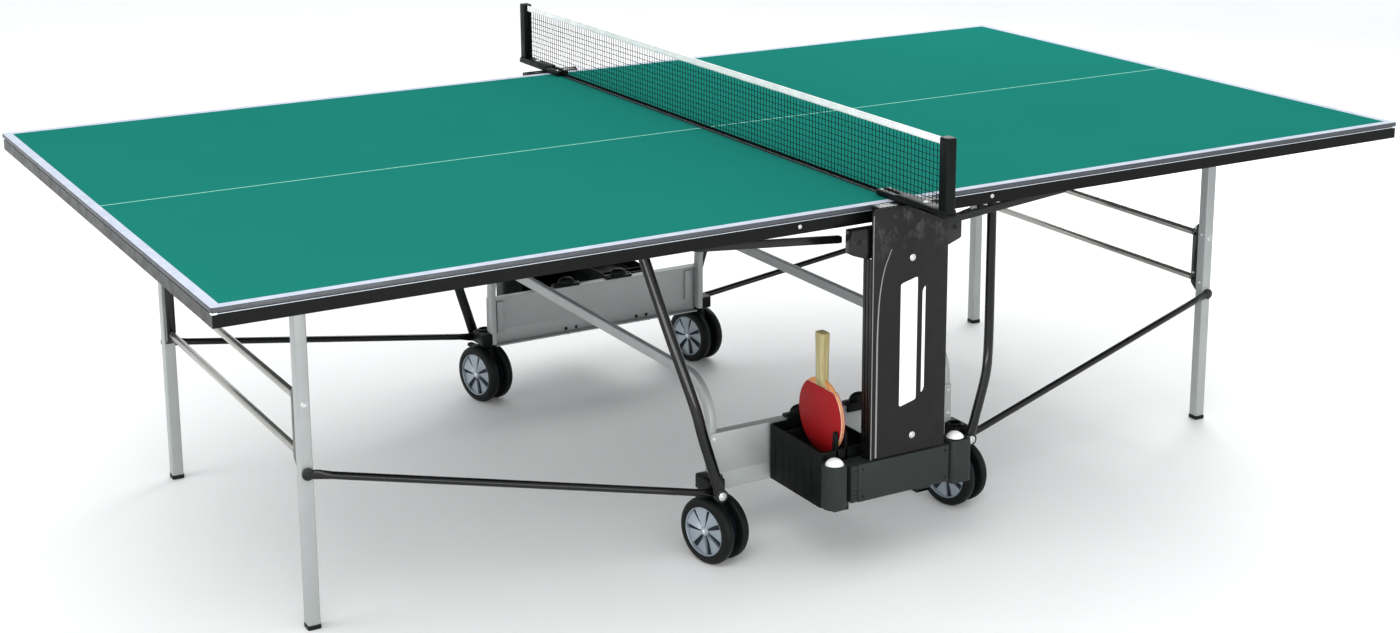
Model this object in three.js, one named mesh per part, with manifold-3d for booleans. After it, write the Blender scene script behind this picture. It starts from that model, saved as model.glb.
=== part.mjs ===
// Folding table tennis table on a wheeled centre carriage. Millimetres, +Z up.
// X runs along the playing length, Y across it. The origin is on the floor, under the net's middle.
// Pieces that come in pairs are drawn once at positive X and Y and mirrored into place.
import * as THREE from "three";
import { mergeVertices } from "three/addons/utils/BufferGeometryUtils.js";
import Module from "manifold-3d";

const wasm = await Module();
wasm.setup();

// ---- driving dimensions ----
const GAP = 0.3; // air left between pieces that touch

const TOP_LENGTH = 2740;
const TOP_WIDTH = 1525;
const TOP_HEIGHT = 760;
const BOARD_THICKNESS = 9;
const BOARD_SPLIT = 4; // from the net plane to each board's inner edge
const BOARD_CORNER = 6;

const FRAME_INSET = 2.5; // how far the apron sits inside the board's edge
const FRAME_WALL = 14;
const FRAME_BOTTOM = 724;

const LEVER_FOOT = { x: 310, z: 155 }; // lower hinge, shared with the rod
const LEVER_KNEE = { x: 355, z: 310 };
const LEVER_HEAD = { x: 445, z: 738 }; // the hinge that carries the half
const LEVER_FOOT_Y = 600;
const LEVER_HEAD_Y = 482;
const LEVER_HALF_DEPTH = 12; // along X
const LEVER_HALF_WIDTH = 7.7; // along Y
const LEVER_BEAM = { from: 470, to: 484 };

const LEG_X = 1115;
const LEG_Y = 440;
const LEG_SIZE = 25;
const LEG_HINGE_Z = 705;
const LEG_BEAM = { from: 1120, to: 1134 };
const FOOT_HEIGHT = 8;
const FOOT_LIP = 1;
const RAIL_RADIUS = 8;
const RAIL_UPPER_Z = 455;
const RAIL_LOWER_Z = 345;
const BRACKET_DEPTH = 20;

const ROD_RADIUS = 7.5;
const ROD_LEG_Z = 315;
const ROD_EYE_RADIUS = 12;
const ROD_EYE_THICKNESS = 5;
const ROD_FOOT_Y = 583.5;
const ROD_HEAD_Y = 457.5;

const ARCH_X = 292;
const ARCH_WIDTH = 15; // along X
const ARCH_DEPTH = 24; // in the plane of the arch
const ARCH_Y = 530.7;
const ARCH_TOP = 376;
const ARCH_BOTTOM = 148;
const ARCH_CORNER = 100;
const CASTER_X = 300;
const CASTER_Y = 560;
const CASTER_TURN = 15; // degrees
const BLOCK_OUTER = 580; // the block at each foot of an arch holds caster, lever and rod
const BLOCK_TOP = 178;

const PANEL_Y = 546;
const PANEL_THICKNESS = 3;
const PANEL_BOTTOM = 142;
const PANEL_TOP = 265;
const PANEL_FLANGE = 22;

const WHEEL_RADIUS = 70;
const WHEEL_HALF_TRACK = 34;
const FORK_HALF_WIDTH = 8.5;
const AXLE_RADIUS = 5;
const STEM_RADIUS = 6;

const COLUMN_INNER_Y = 768;
const COLUMN_OUTER_Y = 796;
const COLUMN_HALF_WIDTH = 70;
const COLUMN_BOTTOM = 252;
const WING_REACH = 130;
const WING_TOP = 722;
const WING_BOTTOM = 662;
const COVER_Y = 803;
const COVER_HALF_WIDTH = 90;
const COVER_BOTTOM = 253;
const COVER_SHOULDER = 716;

const BASE_TOP = 250;
const BASE_BOTTOM = 172;
const BASE_FRONT = 806;
const BASE_BACK = 762;
const BASE_LEFT_X = -161; // the left post's centre
const BASE_RIGHT_X = 130;
const BASE_POST_Y = 786;
const BASE_POST_RADIUS = 25;
const BALL_RADIUS = 20;
const BALL_SHOWS = 11; // how much of a stored ball stands above its pocket

const BOX = { x0: -168, x1: -36, y0: -750, y1: -553, z0: 150, z1: 266 };
const BOX_WALL = 4;
const BOX_FLOOR = 239;
const PRONG_TOP = 302;
const BAT = { x: -120, y: -677, z: 316, radius: 76, thickness: 11 };

const NET_HALF = 901;
const NET_BOTTOM = 763;
const NET_TOP = 912.5;
const TAPE_HEIGHT = 15;
const POST_Y = 915;
const POST_HALF_X = 11;
const POST_HALF_Y = 13;

// ---- helpers ----
const material = (color, roughness, metalness) =>
  new THREE.MeshStandardMaterial({ color, roughness, metalness });
const SILVER = () => material(0xaeb4b3, 0.38, 0.7);
const CHROME = () => material(0xc4c8c8, 0.22, 0.9);
const BLACK_STEEL = () => material(0x16181a, 0.35, 0.35);
const BLACK_PLASTIC = () => material(0x1a1c1d, 0.55, 0);
const TYRE = () => material(0x1c1f22, 0.5, 0);

const toSolid = (geometry) => {
  const bare = geometry.clone();
  bare.deleteAttribute("normal");
  bare.deleteAttribute("uv");
  const merged = mergeVertices(bare, 1e-4);
  return new wasm.Manifold(
    new wasm.Mesh({
      numProp: 3,
      vertProperties: new Float32Array(merged.attributes.position.array),
      triVerts: new Uint32Array(merged.index.array),
    }),
  );
};

const toGeometry = (solid) => {
  const mesh = solid.getMesh();
  const positions = new Float32Array(mesh.numVert * 3);
  for (let i = 0; i < mesh.numVert; i++) {
    for (let k = 0; k < 3; k++) {
      positions[i * 3 + k] = mesh.vertProperties[i * mesh.numProp + k];
    }
  }
  const geometry = new THREE.BufferGeometry();
  geometry.setAttribute("position", new THREE.BufferAttribute(positions, 3));
  geometry.setIndex(Array.from(mesh.triVerts));
  return geometry;
};

const join = (...geometries) => {
  let solid = toSolid(geometries[0]);
  for (const geometry of geometries.slice(1)) {
    solid = solid.add(toSolid(geometry));
  }
  return toGeometry(solid);
};

const cut = (geometry, ...tools) => {
  let solid = toSolid(geometry);
  for (const tool of tools) {
    solid = solid.subtract(toSolid(tool));
  }
  return toGeometry(solid);
};

const box = (x0, x1, y0, y1, z0, z1) =>
  new THREE.BoxGeometry(x1 - x0, y1 - y0, z1 - z0).translate(
    (x0 + x1) / 2,
    (y0 + y1) / 2,
    (z0 + z1) / 2,
  );

const cylinderY = (x, z, radius, y0, y1, segments = 20) =>
  new THREE.CylinderGeometry(radius, radius, y1 - y0, segments).translate(x, (y0 + y1) / 2, z);

const cylinderZ = (x, y, radius, z0, z1, segments = 20) =>
  new THREE.CylinderGeometry(radius, radius, z1 - z0, segments)
    .rotateX(Math.PI / 2)
    .translate(x, y, (z0 + z1) / 2);

// A plate whose outline is given in X and Z, from y0 to y1.
const plateXZ = (points, y0, y1) => {
  const shape = new THREE.Shape(points.map(([x, z]) => new THREE.Vector2(x, z)));
  return new THREE.ExtrudeGeometry(shape, { depth: y1 - y0, bevelEnabled: false })
    .rotateX(Math.PI / 2)
    .translate(0, y1, 0);
};

// A plate whose outline is a Shape in Y and Z, from x0 to x1.
const plateYZ = (shape, x0, x1, curveSegments = 8) =>
  new THREE.ExtrudeGeometry(shape, { depth: x1 - x0, bevelEnabled: false, curveSegments })
    .rotateZ(Math.PI / 2)
    .rotateY(Math.PI / 2)
    .translate(x0, 0, 0);

// An oval tube of half sizes a (sideways) and b along a path of points.
const tube = (points, a, b, steps, segments = 20) => {
  const shape = new THREE.Shape();
  shape.absellipse(0, 0, a, b, 0, Math.PI * 2, false, 0);
  const path = new THREE.CatmullRomCurve3(
    points.map((p) => new THREE.Vector3(...p)),
    false,
    "centripetal",
  );
  return new THREE.ExtrudeGeometry(shape, {
    steps,
    curveSegments: segments,
    extrudePath: path,
    bevelEnabled: false,
  });
};

// Mirrors a geometry into another quadrant and keeps its faces pointing out.
const placed = (geometry, sx, sy) => {
  const copy = geometry.clone().scale(sx, sy, 1);
  if (sx * sy < 0) {
    const flipped = copy.index ? copy : mergeVertices(copy, 1e-4);
    const index = flipped.index.array;
    for (let i = 0; i < index.length; i += 3) {
      [index[i + 1], index[i + 2]] = [index[i + 2], index[i + 1]];
    }
    return flipped;
  }
  return copy;
};

const table = new THREE.Group();
table.name = "folding_table_tennis_table";
const add = (name, geometry, look) => {
  const mesh = new THREE.Mesh(geometry, look);
  mesh.name = name;
  table.add(mesh);
};

const ENDS = [
  ["left", -1],
  ["right", 1],
];
const SIDES = [
  ["near", -1],
  ["far", 1],
];

// ---- playing boards ----
const boardOutline = new THREE.Shape();
const boardEnd = TOP_LENGTH / 2;
const boardSide = TOP_WIDTH / 2;
boardOutline.moveTo(BOARD_SPLIT, -boardSide);
boardOutline.lineTo(boardEnd - BOARD_CORNER, -boardSide);
boardOutline.absarc(boardEnd - BOARD_CORNER, BOARD_CORNER - boardSide, BOARD_CORNER, -Math.PI / 2, 0);
boardOutline.absarc(boardEnd - BOARD_CORNER, boardSide - BOARD_CORNER, BOARD_CORNER, 0, Math.PI / 2);
boardOutline.lineTo(BOARD_SPLIT, boardSide);
const boardGeometry = new THREE.ExtrudeGeometry(boardOutline, {
  depth: BOARD_THICKNESS,
  bevelEnabled: false,
  curveSegments: 6,
}).translate(0, 0, TOP_HEIGHT - BOARD_THICKNESS);

// ---- apron frame with its cross beams and hinge lugs ----
const frameTop = TOP_HEIGHT - BOARD_THICKNESS - GAP;
const frameInner = BOARD_SPLIT + FRAME_INSET;
const frameOuter = boardEnd - FRAME_INSET;
const frameSide = boardSide - FRAME_INSET;
const wallInside = frameSide - FRAME_WALL;
const beam = (span) =>
  box(span.from, span.to, -wallInside - 1, wallInside + 1, FRAME_BOTTOM, frameTop);

const leverLug = (y) => {
  const plate = plateXZ(
    [
      [LEVER_BEAM.from + 1, FRAME_BOTTOM + 1],
      [LEVER_BEAM.from + 1, frameTop - 1],
      [LEVER_HEAD.x - 9, frameTop - 1],
      [LEVER_HEAD.x - 9, FRAME_BOTTOM + 1],
    ],
    y - 2,
    y + 2,
  );
  return plate;
};
const leverLugY = LEVER_HALF_WIDTH + 3;
const leverPin = (y) =>
  cylinderY(LEVER_HEAD.x, LEVER_HEAD.z, 4, y - leverLugY - 1, y + leverLugY + 1, 20);

const legLug = (y) =>
  plateXZ(
    [
      [LEG_X - 12, LEG_HINGE_Z + 4],
      [LEG_X - 8, LEG_HINGE_Z - 12],
      [LEG_X + 8, LEG_HINGE_Z - 12],
      [LEG_BEAM.to - 1, FRAME_BOTTOM - 8],
      [LEG_BEAM.to - 1, frameTop - 1],
      [LEG_BEAM.from + 1, frameTop - 1],
      [LEG_BEAM.from + 1, FRAME_BOTTOM - 2],
    ],
    y - 2,
    y + 2,
  );
const legLugY = LEG_SIZE / 2 + 2.5;
const legPin = (y) => cylinderY(LEG_X, LEG_HINGE_Z, 5, y - legLugY - 1, y + legLugY + 1, 20);

const frameParts = [
  cut(
    box(frameInner, frameOuter, -frameSide, frameSide, FRAME_BOTTOM, frameTop),
    box(
      frameInner + FRAME_WALL,
      frameOuter - FRAME_WALL,
      -wallInside,
      wallInside,
      FRAME_BOTTOM - 1,
      frameTop + 1,
    ),
  ),
  beam(LEVER_BEAM),
  beam(LEG_BEAM),
];
for (const side of [-1, 1]) {
  frameParts.push(leverLug(side * LEVER_HEAD_Y - leverLugY));
  frameParts.push(leverLug(side * LEVER_HEAD_Y + leverLugY));
  frameParts.push(leverPin(side * LEVER_HEAD_Y));
  frameParts.push(legLug(side * LEG_Y - legLugY));
  frameParts.push(legLug(side * LEG_Y + legLugY));
  frameParts.push(legPin(side * LEG_Y));
}
const frameGeometry = join(...frameParts);

// ---- lock bar under each apron, beside the column ----
const lockBar = plateXZ(
  [
    [112, 682],
    [112, 697],
    [424, 725],
    [424, 746],
    [452, 746],
    [452, 716],
    [436, 711],
  ],
  722,
  732,
);

// ---- levers ----
const leverTube = tube(
  [
    [LEVER_FOOT.x, LEVER_FOOT_Y, LEVER_FOOT.z],
    [(LEVER_FOOT.x * 2 + LEVER_KNEE.x) / 3, LEVER_FOOT_Y, (LEVER_FOOT.z * 2 + LEVER_KNEE.z) / 3],
    [LEVER_KNEE.x - 4, LEVER_FOOT_Y - 2, LEVER_KNEE.z - 16],
    [LEVER_KNEE.x + 4, LEVER_FOOT_Y - 7, LEVER_KNEE.z + 24],
    [
      (LEVER_KNEE.x + LEVER_HEAD.x) / 2 + 2,
      (LEVER_FOOT_Y + LEVER_HEAD_Y) / 2 - 2,
      (LEVER_KNEE.z + LEVER_HEAD.z) / 2,
    ],
    [LEVER_HEAD.x - 3, LEVER_HEAD_Y + 4, LEVER_HEAD.z - 26],
  ],
  LEVER_HALF_WIDTH - 0.5,
  LEVER_HALF_DEPTH,
  14,
  9,
);
const leverGeometry = cut(
  join(
    leverTube,
    cylinderY(
      LEVER_FOOT.x,
      LEVER_FOOT.z,
      14,
      LEVER_FOOT_Y - LEVER_HALF_WIDTH,
      LEVER_FOOT_Y + LEVER_HALF_WIDTH,
    ),
    cylinderY(
      LEVER_HEAD.x,
      LEVER_HEAD.z,
      9.5,
      LEVER_HEAD_Y - LEVER_HALF_WIDTH,
      LEVER_HEAD_Y + LEVER_HALF_WIDTH,
    ),
    plateXZ(
      [
        [LEVER_HEAD.x - 9.5, LEVER_HEAD.z],
        [LEVER_HEAD.x + 9.5, LEVER_HEAD.z],
        [LEVER_HEAD.x + 5, LEVER_HEAD.z - 40],
        [LEVER_HEAD.x - 13, LEVER_HEAD.z - 40],
      ],
      LEVER_HEAD_Y - LEVER_HALF_WIDTH + 1,
      LEVER_HEAD_Y + LEVER_HALF_WIDTH - 1,
    ),
  ),
  cylinderY(LEVER_HEAD.x, LEVER_HEAD.z, 4 + GAP, LEVER_HEAD_Y - 20, LEVER_HEAD_Y + 20, 20),
  cylinderY(LEVER_FOOT.x, LEVER_FOOT.z, 5 + GAP, LEVER_FOOT_Y - 20, LEVER_FOOT_Y + 20, 20),
);

// ---- legs, their cross rails and brackets ----
const legHalf = LEG_SIZE / 2;
const legGeometry = cut(
  join(
    box(
      LEG_X - legHalf,
      LEG_X + legHalf,
      LEG_Y - legHalf,
      LEG_Y + legHalf,
      FOOT_HEIGHT - 1,
      LEG_HINGE_Z,
    ),
    cylinderY(LEG_X, LEG_HINGE_Z, legHalf, LEG_Y - legHalf, LEG_Y + legHalf),
    box(
      LEG_X - legHalf - FOOT_LIP,
      LEG_X + legHalf + FOOT_LIP,
      LEG_Y - legHalf - FOOT_LIP,
      LEG_Y + legHalf + FOOT_LIP,
      0,
      FOOT_HEIGHT,
    ),
  ),
  cylinderY(LEG_X, LEG_HINGE_Z, 5 + GAP, LEG_Y - 30, LEG_Y + 30, 20),
);

const bracketOuter = LEG_Y - legHalf - GAP;
const bracketGeometry = cut(
  box(
    LEG_X - 10,
    LEG_X + 10,
    bracketOuter - BRACKET_DEPTH,
    bracketOuter,
    RAIL_LOWER_Z - 26,
    RAIL_UPPER_Z + 26,
  ),
  plateYZ(
    new THREE.Shape([
      new THREE.Vector2(bracketOuter - BRACKET_DEPTH - 1, RAIL_UPPER_Z + 12),
      new THREE.Vector2(bracketOuter - BRACKET_DEPTH - 1, RAIL_UPPER_Z + 27),
      new THREE.Vector2(bracketOuter - 4, RAIL_UPPER_Z + 27),
    ]),
    LEG_X - 11,
    LEG_X + 11,
  ),
  plateYZ(
    new THREE.Shape([
      new THREE.Vector2(bracketOuter - BRACKET_DEPTH - 1, RAIL_LOWER_Z - 12),
      new THREE.Vector2(bracketOuter - 4, RAIL_LOWER_Z - 27),
      new THREE.Vector2(bracketOuter - BRACKET_DEPTH - 1, RAIL_LOWER_Z - 27),
    ]),
    LEG_X - 11,
    LEG_X + 11,
  ),
);
const railHalf = bracketOuter - BRACKET_DEPTH - GAP;
const rail = (z) => cylinderY(LEG_X, z, RAIL_RADIUS, -railHalf, railHalf, 20);

// ---- rods from the casters to the legs ----
const rodTubeGeometry = tube(
  [
    [LEVER_FOOT.x + 37, ROD_FOOT_Y - 3, LEVER_FOOT.z + 7.4],
    [(LEVER_FOOT.x + LEG_X) / 2, (ROD_FOOT_Y + ROD_HEAD_Y) / 2, (LEVER_FOOT.z + ROD_LEG_Z) / 2],
    [LEG_X - 30, ROD_HEAD_Y + 4.7, ROD_LEG_Z - 6],
  ],
  ROD_RADIUS,
  ROD_RADIUS,
  2,
  7,
);
const rodSlope = (ROD_LEG_Z - LEVER_FOOT.z) / (LEG_X - LEVER_FOOT.x);
const rodEnd = (x, z, y0, toward) =>
  join(
    cylinderY(x, z, ROD_EYE_RADIUS, y0, y0 + ROD_EYE_THICKNESS),
    plateXZ(
      toward > 0
        ? [
            [x, z - 9],
            [x + 44, z - 7 + 44 * rodSlope],
            [x + 44, z + 7 + 44 * rodSlope],
            [x, z + 9],
          ]
        : [
            [x - 44, z - 7 - 44 * rodSlope],
            [x, z - 9],
            [x, z + 9],
            [x - 44, z + 7 - 44 * rodSlope],
          ],
      y0,
      y0 + ROD_EYE_THICKNESS,
    ),
  );
const rodGeometry = cut(
  join(
    rodTubeGeometry,
    rodEnd(LEVER_FOOT.x, LEVER_FOOT.z, ROD_FOOT_Y - ROD_EYE_THICKNESS / 2, 1),
    rodEnd(LEG_X, ROD_LEG_Z, ROD_HEAD_Y - ROD_EYE_THICKNESS / 2, -1),
  ),
  cylinderY(LEVER_FOOT.x, LEVER_FOOT.z, 5 + GAP, ROD_FOOT_Y - 10, ROD_FOOT_Y + 10, 20),
);

// ---- arches: inverted U posts with the pins that carry lever and rod ----
const archOuter = ARCH_Y + ARCH_DEPTH / 2;
const archInner = ARCH_Y - ARCH_DEPTH / 2;
const archShape = new THREE.Shape();
archShape.moveTo(-archOuter, ARCH_BOTTOM);
archShape.lineTo(-archInner, ARCH_BOTTOM);
archShape.lineTo(-archInner, ARCH_TOP - ARCH_CORNER);
archShape.absarc(
  ARCH_CORNER - archOuter,
  ARCH_TOP - ARCH_CORNER,
  ARCH_CORNER - ARCH_DEPTH,
  Math.PI,
  Math.PI / 2,
  true,
);
archShape.absarc(
  archOuter - ARCH_CORNER,
  ARCH_TOP - ARCH_CORNER,
  ARCH_CORNER - ARCH_DEPTH,
  Math.PI / 2,
  0,
  true,
);
archShape.lineTo(archInner, ARCH_BOTTOM);
archShape.lineTo(archOuter, ARCH_BOTTOM);
archShape.lineTo(archOuter, ARCH_TOP - ARCH_CORNER);
archShape.absarc(archOuter - ARCH_CORNER, ARCH_TOP - ARCH_CORNER, ARCH_CORNER, 0, Math.PI / 2);
archShape.absarc(ARCH_CORNER - archOuter, ARCH_TOP - ARCH_CORNER, ARCH_CORNER, Math.PI / 2, Math.PI);

const archParts = [plateYZ(archShape, ARCH_X - ARCH_WIDTH / 2, ARCH_X + ARCH_WIDTH / 2)];
const pinEnd = LEVER_FOOT_Y + LEVER_HALF_WIDTH + 6;
for (const side of [-1, 1]) {
  const block = [side * archInner, side * BLOCK_OUTER].sort((a, b) => a - b);
  const reach = [side * (BLOCK_OUTER - 5), side * pinEnd].sort((a, b) => a - b);
  const head = [side * (pinEnd - 5), side * pinEnd].sort((a, b) => a - b);
  archParts.push(
    box(CASTER_X - 15, CASTER_X + 24, ...block, ARCH_BOTTOM, BLOCK_TOP),
    cylinderY(LEVER_FOOT.x, LEVER_FOOT.z, 5, ...reach, 20),
    cylinderY(LEVER_FOOT.x, LEVER_FOOT.z, 10, ...head, 20),
  );
}
const archGeometry = cut(
  join(...archParts),
  ...[-1, 1].map((side) =>
    cylinderZ(CASTER_X, side * CASTER_Y, STEM_RADIUS + GAP, ARCH_BOTTOM - 10, 176, 20),
  ),
);

// ---- casters: a fork that swivels in the arch, and a twin wheel ----
const forkGeometry = cut(
  join(
    plateXZ(
      [
        [CASTER_X - 13, 30],
        [CASTER_X + 13, 30],
        [CASTER_X + 40, 62],
        [CASTER_X + 40, 96],
        [CASTER_X + 22, 138],
        [CASTER_X + 14, 141.3],
        [CASTER_X - 14, 141.3],
        [CASTER_X - 22, 138],
        [CASTER_X - 40, 96],
        [CASTER_X - 40, 62],
      ],
      CASTER_Y - FORK_HALF_WIDTH,
      CASTER_Y + FORK_HALF_WIDTH,
    ),
    cylinderZ(CASTER_X, CASTER_Y, 17, 141, ARCH_BOTTOM - GAP),
    cylinderZ(CASTER_X, CASTER_Y, STEM_RADIUS, 141.5, 174, 20),
    box(CASTER_X + 10, CASTER_X + 62, CASTER_Y - 8, CASTER_Y + 8, 124, 132),
  ),
  cylinderY(CASTER_X, WHEEL_RADIUS, AXLE_RADIUS + GAP, CASTER_Y - 20, CASTER_Y + 20, 20),
);

const halfWheel = [
  [0, WHEEL_HALF_TRACK - 2],
  [12, WHEEL_HALF_TRACK - 2],
  [14, WHEEL_HALF_TRACK - 6],
  [48, WHEEL_HALF_TRACK - 7],
  [51, WHEEL_HALF_TRACK - 2],
  [58, WHEEL_HALF_TRACK],
  [66, WHEEL_HALF_TRACK - 2],
  [WHEEL_RADIUS, WHEEL_HALF_TRACK - 7],
  [WHEEL_RADIUS, WHEEL_HALF_TRACK - 17],
  [66, WHEEL_HALF_TRACK - 22],
  [54, FORK_HALF_WIDTH + 2],
  [14, FORK_HALF_WIDTH + 2],
  [12, FORK_HALF_WIDTH + 0.6],
  [AXLE_RADIUS, FORK_HALF_WIDTH + 0.6],
];
const wheelProfile = [
  ...halfWheel.map(([r, y]) => new THREE.Vector2(r, y)),
  ...halfWheel.map(([r, y]) => new THREE.Vector2(r, -y)).reverse(),
].reverse();
const wheelGeometry = new THREE.LatheGeometry(wheelProfile, 32).translate(
  CASTER_X,
  CASTER_Y,
  WHEEL_RADIUS,
);

// All four casters stand turned the same way, their axles CASTER_TURN off the table's length.
const swivelled = (geometry, sx, sy) =>
  geometry
    .clone()
    .translate(-CASTER_X, -CASTER_Y, 0)
    .rotateZ(THREE.MathUtils.degToRad(sx * sy * CASTER_TURN + sy * 90))
    .translate(CASTER_X, CASTER_Y, 0);

// ---- side panels between the arches ----
const panelEnd = CASTER_X - 15 - GAP; // below, it ends at the blocks; above, it covers the posts
const panelCover = ARCH_X + ARCH_WIDTH / 2;
const panelGeometry = join(
  box(-panelEnd, panelEnd, PANEL_Y - PANEL_THICKNESS, PANEL_Y, PANEL_BOTTOM, PANEL_TOP),
  box(-panelCover, panelCover, PANEL_Y - PANEL_THICKNESS, PANEL_Y, BLOCK_TOP + GAP, PANEL_TOP),
  box(
    1 - panelEnd,
    panelEnd - 1,
    PANEL_Y - PANEL_FLANGE,
    PANEL_Y - 1,
    PANEL_TOP - PANEL_THICKNESS,
    PANEL_TOP,
  ),
  box(
    -panelEnd,
    panelEnd,
    PANEL_Y - PANEL_FLANGE,
    PANEL_Y - 1,
    PANEL_BOTTOM,
    PANEL_BOTTOM + PANEL_THICKNESS,
  ),
);

// ---- rests on the panels' top edges, where a folded half comes down ----
const restGeometry = (x) =>
  cut(
    join(
      box(x - 36, x + 36, -PANEL_Y - 6, -PANEL_Y + 20, PANEL_TOP - 14, PANEL_TOP + 6),
      new THREE.SphereGeometry(20, 14, 8)
        .scale(1.15, 0.6, 0.9)
        .translate(x, 7 - PANEL_Y, PANEL_TOP + 5),
    ),
    box(x - 40, x + 40, -PANEL_Y - GAP, -PANEL_Y + 30, PANEL_TOP - 20, PANEL_TOP + GAP),
  );

// ---- columns, covers and moulded bases ----
const columnGeometry = join(
  box(
    -COLUMN_HALF_WIDTH,
    COLUMN_HALF_WIDTH,
    -COLUMN_OUTER_Y,
    -COLUMN_INNER_Y,
    COLUMN_BOTTOM,
    TOP_HEIGHT + 1.2,
  ),
  plateXZ(
    [
      [-WING_REACH, WING_BOTTOM + 12],
      [-WING_REACH + 34, WING_BOTTOM],
      [WING_REACH - 34, WING_BOTTOM],
      [WING_REACH, WING_BOTTOM + 12],
      [WING_REACH, WING_TOP],
      [-WING_REACH, WING_TOP],
    ],
    -COLUMN_OUTER_Y + 4,
    -COLUMN_INNER_Y,
  ),
);

const coverOutline = [
  [-COVER_HALF_WIDTH, COVER_BOTTOM],
  [COVER_HALF_WIDTH, COVER_BOTTOM],
  [COVER_HALF_WIDTH, COVER_SHOULDER],
  [0, TOP_HEIGHT + 1],
  [-COVER_HALF_WIDTH + 6, TOP_HEIGHT + 1],
  [-COVER_HALF_WIDTH, TOP_HEIGHT - 6],
];
const coverGeometry = join(
  plateXZ(coverOutline, -COVER_Y, -COVER_Y + 3),
  ...[-1, 1].map((side) => {
    const edge = [side * COVER_HALF_WIDTH, side * (COVER_HALF_WIDTH - 3)].sort((a, b) => a - b);
    return box(...edge, -COVER_Y + 1, -COLUMN_INNER_Y - 4, COVER_BOTTOM, WING_BOTTOM - GAP);
  }),
);

const ballCentreZ = BASE_TOP + 6 - BALL_RADIUS + BALL_SHOWS;
const basePost = (x) => cylinderZ(x, -BASE_POST_Y, BASE_POST_RADIUS, BASE_BOTTOM - 7, BASE_TOP + 6, 32);
const basePocket = (x) =>
  cylinderZ(x, -BASE_POST_Y, BALL_RADIUS + 1, ballCentreZ - BALL_RADIUS - 0.5, BASE_TOP + 20, 32);
const baseArm = (x) =>
  box(x - 18, x + 18, -BASE_BACK - 4, -PANEL_Y - GAP, 143, 149.5);
const baseFoot = (x) => box(x - 18, x + 18, -BASE_BACK - 4, -BASE_BACK + 4, 143, BASE_BOTTOM + 2);
const baseGeometry = cut(
  join(
    box(BASE_LEFT_X, BASE_RIGHT_X, -BASE_FRONT, -BASE_BACK, BASE_BOTTOM, BASE_TOP),
    basePost(BASE_LEFT_X),
    basePost(BASE_RIGHT_X),
    baseArm(-130),
    baseFoot(-130),
    baseArm(70),
    baseFoot(70),
  ),
  basePocket(BASE_LEFT_X),
  basePocket(BASE_RIGHT_X),
);

// ---- bat box: a moulded tray with a raised floor and two prongs that steady the bat ----
const boxInside = (z0, z1) =>
  box(BOX.x0 + BOX_WALL, BOX.x1 - BOX_WALL, BOX.y0 + BOX_WALL, BOX.y1 - BOX_WALL, z0, z1);
const prong = (side) => {
  const near = BAT.x + side * (BAT.thickness / 2 + 2);
  const far = near + side * 7;
  return box(Math.min(near, far), Math.max(near, far), BOX.y0, BOX.y0 + 14, BOX.z1 - 30, PRONG_TOP);
};
const boxGeometry = join(
  cut(
    box(BOX.x0, BOX.x1, BOX.y0, BOX.y1, BOX.z0, BOX.z1),
    boxInside(BOX_FLOOR, BOX.z1 + 10),
    boxInside(BOX.z0 - 10, BOX_FLOOR - BOX_WALL),
  ),
  prong(-1),
  prong(1),
);

// ---- bat stored upright in the tray ----
const blade = new THREE.Shape();
blade.absarc(BAT.y, BAT.z, BAT.radius, -Math.PI * 1.5 + 0.24, Math.PI * 0.5 - 0.24);
const batGeometry = join(
  plateYZ(blade, BAT.x - BAT.thickness / 2, BAT.x + BAT.thickness / 2, 24),
  new THREE.CylinderGeometry(15, 13, 112, 20)
    .scale(0.75, 1, 1)
    .rotateX(Math.PI / 2)
    .translate(BAT.x, BAT.y, BAT.z + BAT.radius + 40),
);

// ---- net, tape and posts ----
const netTapeBottom = NET_TOP - TAPE_HEIGHT;
const clampTop = 776;
const netStep = COLUMN_INNER_Y - 4;
const netShape = new THREE.Shape(
  [
    [-NET_HALF + 0.5, clampTop + 1],
    [-netStep, clampTop + 1],
    [-netStep, NET_BOTTOM],
    [netStep, NET_BOTTOM],
    [netStep, clampTop + 1],
    [NET_HALF - 0.5, clampTop + 1],
    [NET_HALF - 0.5, netTapeBottom - GAP],
    [-NET_HALF + 0.5, netTapeBottom - GAP],
  ].map(([y, z]) => new THREE.Vector2(y, z)),
);
const netGeometry = plateYZ(netShape, -0.8, 0.8);
const tapeGeometry = box(-2, 2, -NET_HALF + 0.5, NET_HALF - 0.5, netTapeBottom, NET_TOP);
const postGeometry = join(
  box(
    -POST_HALF_X,
    POST_HALF_X,
    -POST_Y - POST_HALF_Y,
    -POST_Y + POST_HALF_Y,
    TOP_HEIGHT + 6,
    NET_TOP + 3,
  ),
  box(-16, 16, -POST_Y - POST_HALF_Y, -COLUMN_INNER_Y + 2, TOP_HEIGHT + 1.6, clampTop),
  plateXZ(
    [
      [-16, TOP_HEIGHT + 1.6],
      [-3, TOP_HEIGHT + 1.6],
      [-3, clampTop - 3],
      [-16, clampTop - 3],
    ],
    -COLUMN_INNER_Y,
    -704,
  ),
  plateXZ(
    [
      [3, TOP_HEIGHT + 1.6],
      [16, TOP_HEIGHT + 1.6],
      [16, clampTop - 3],
      [3, clampTop - 3],
    ],
    -COLUMN_INNER_Y,
    -704,
  ),
);

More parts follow.
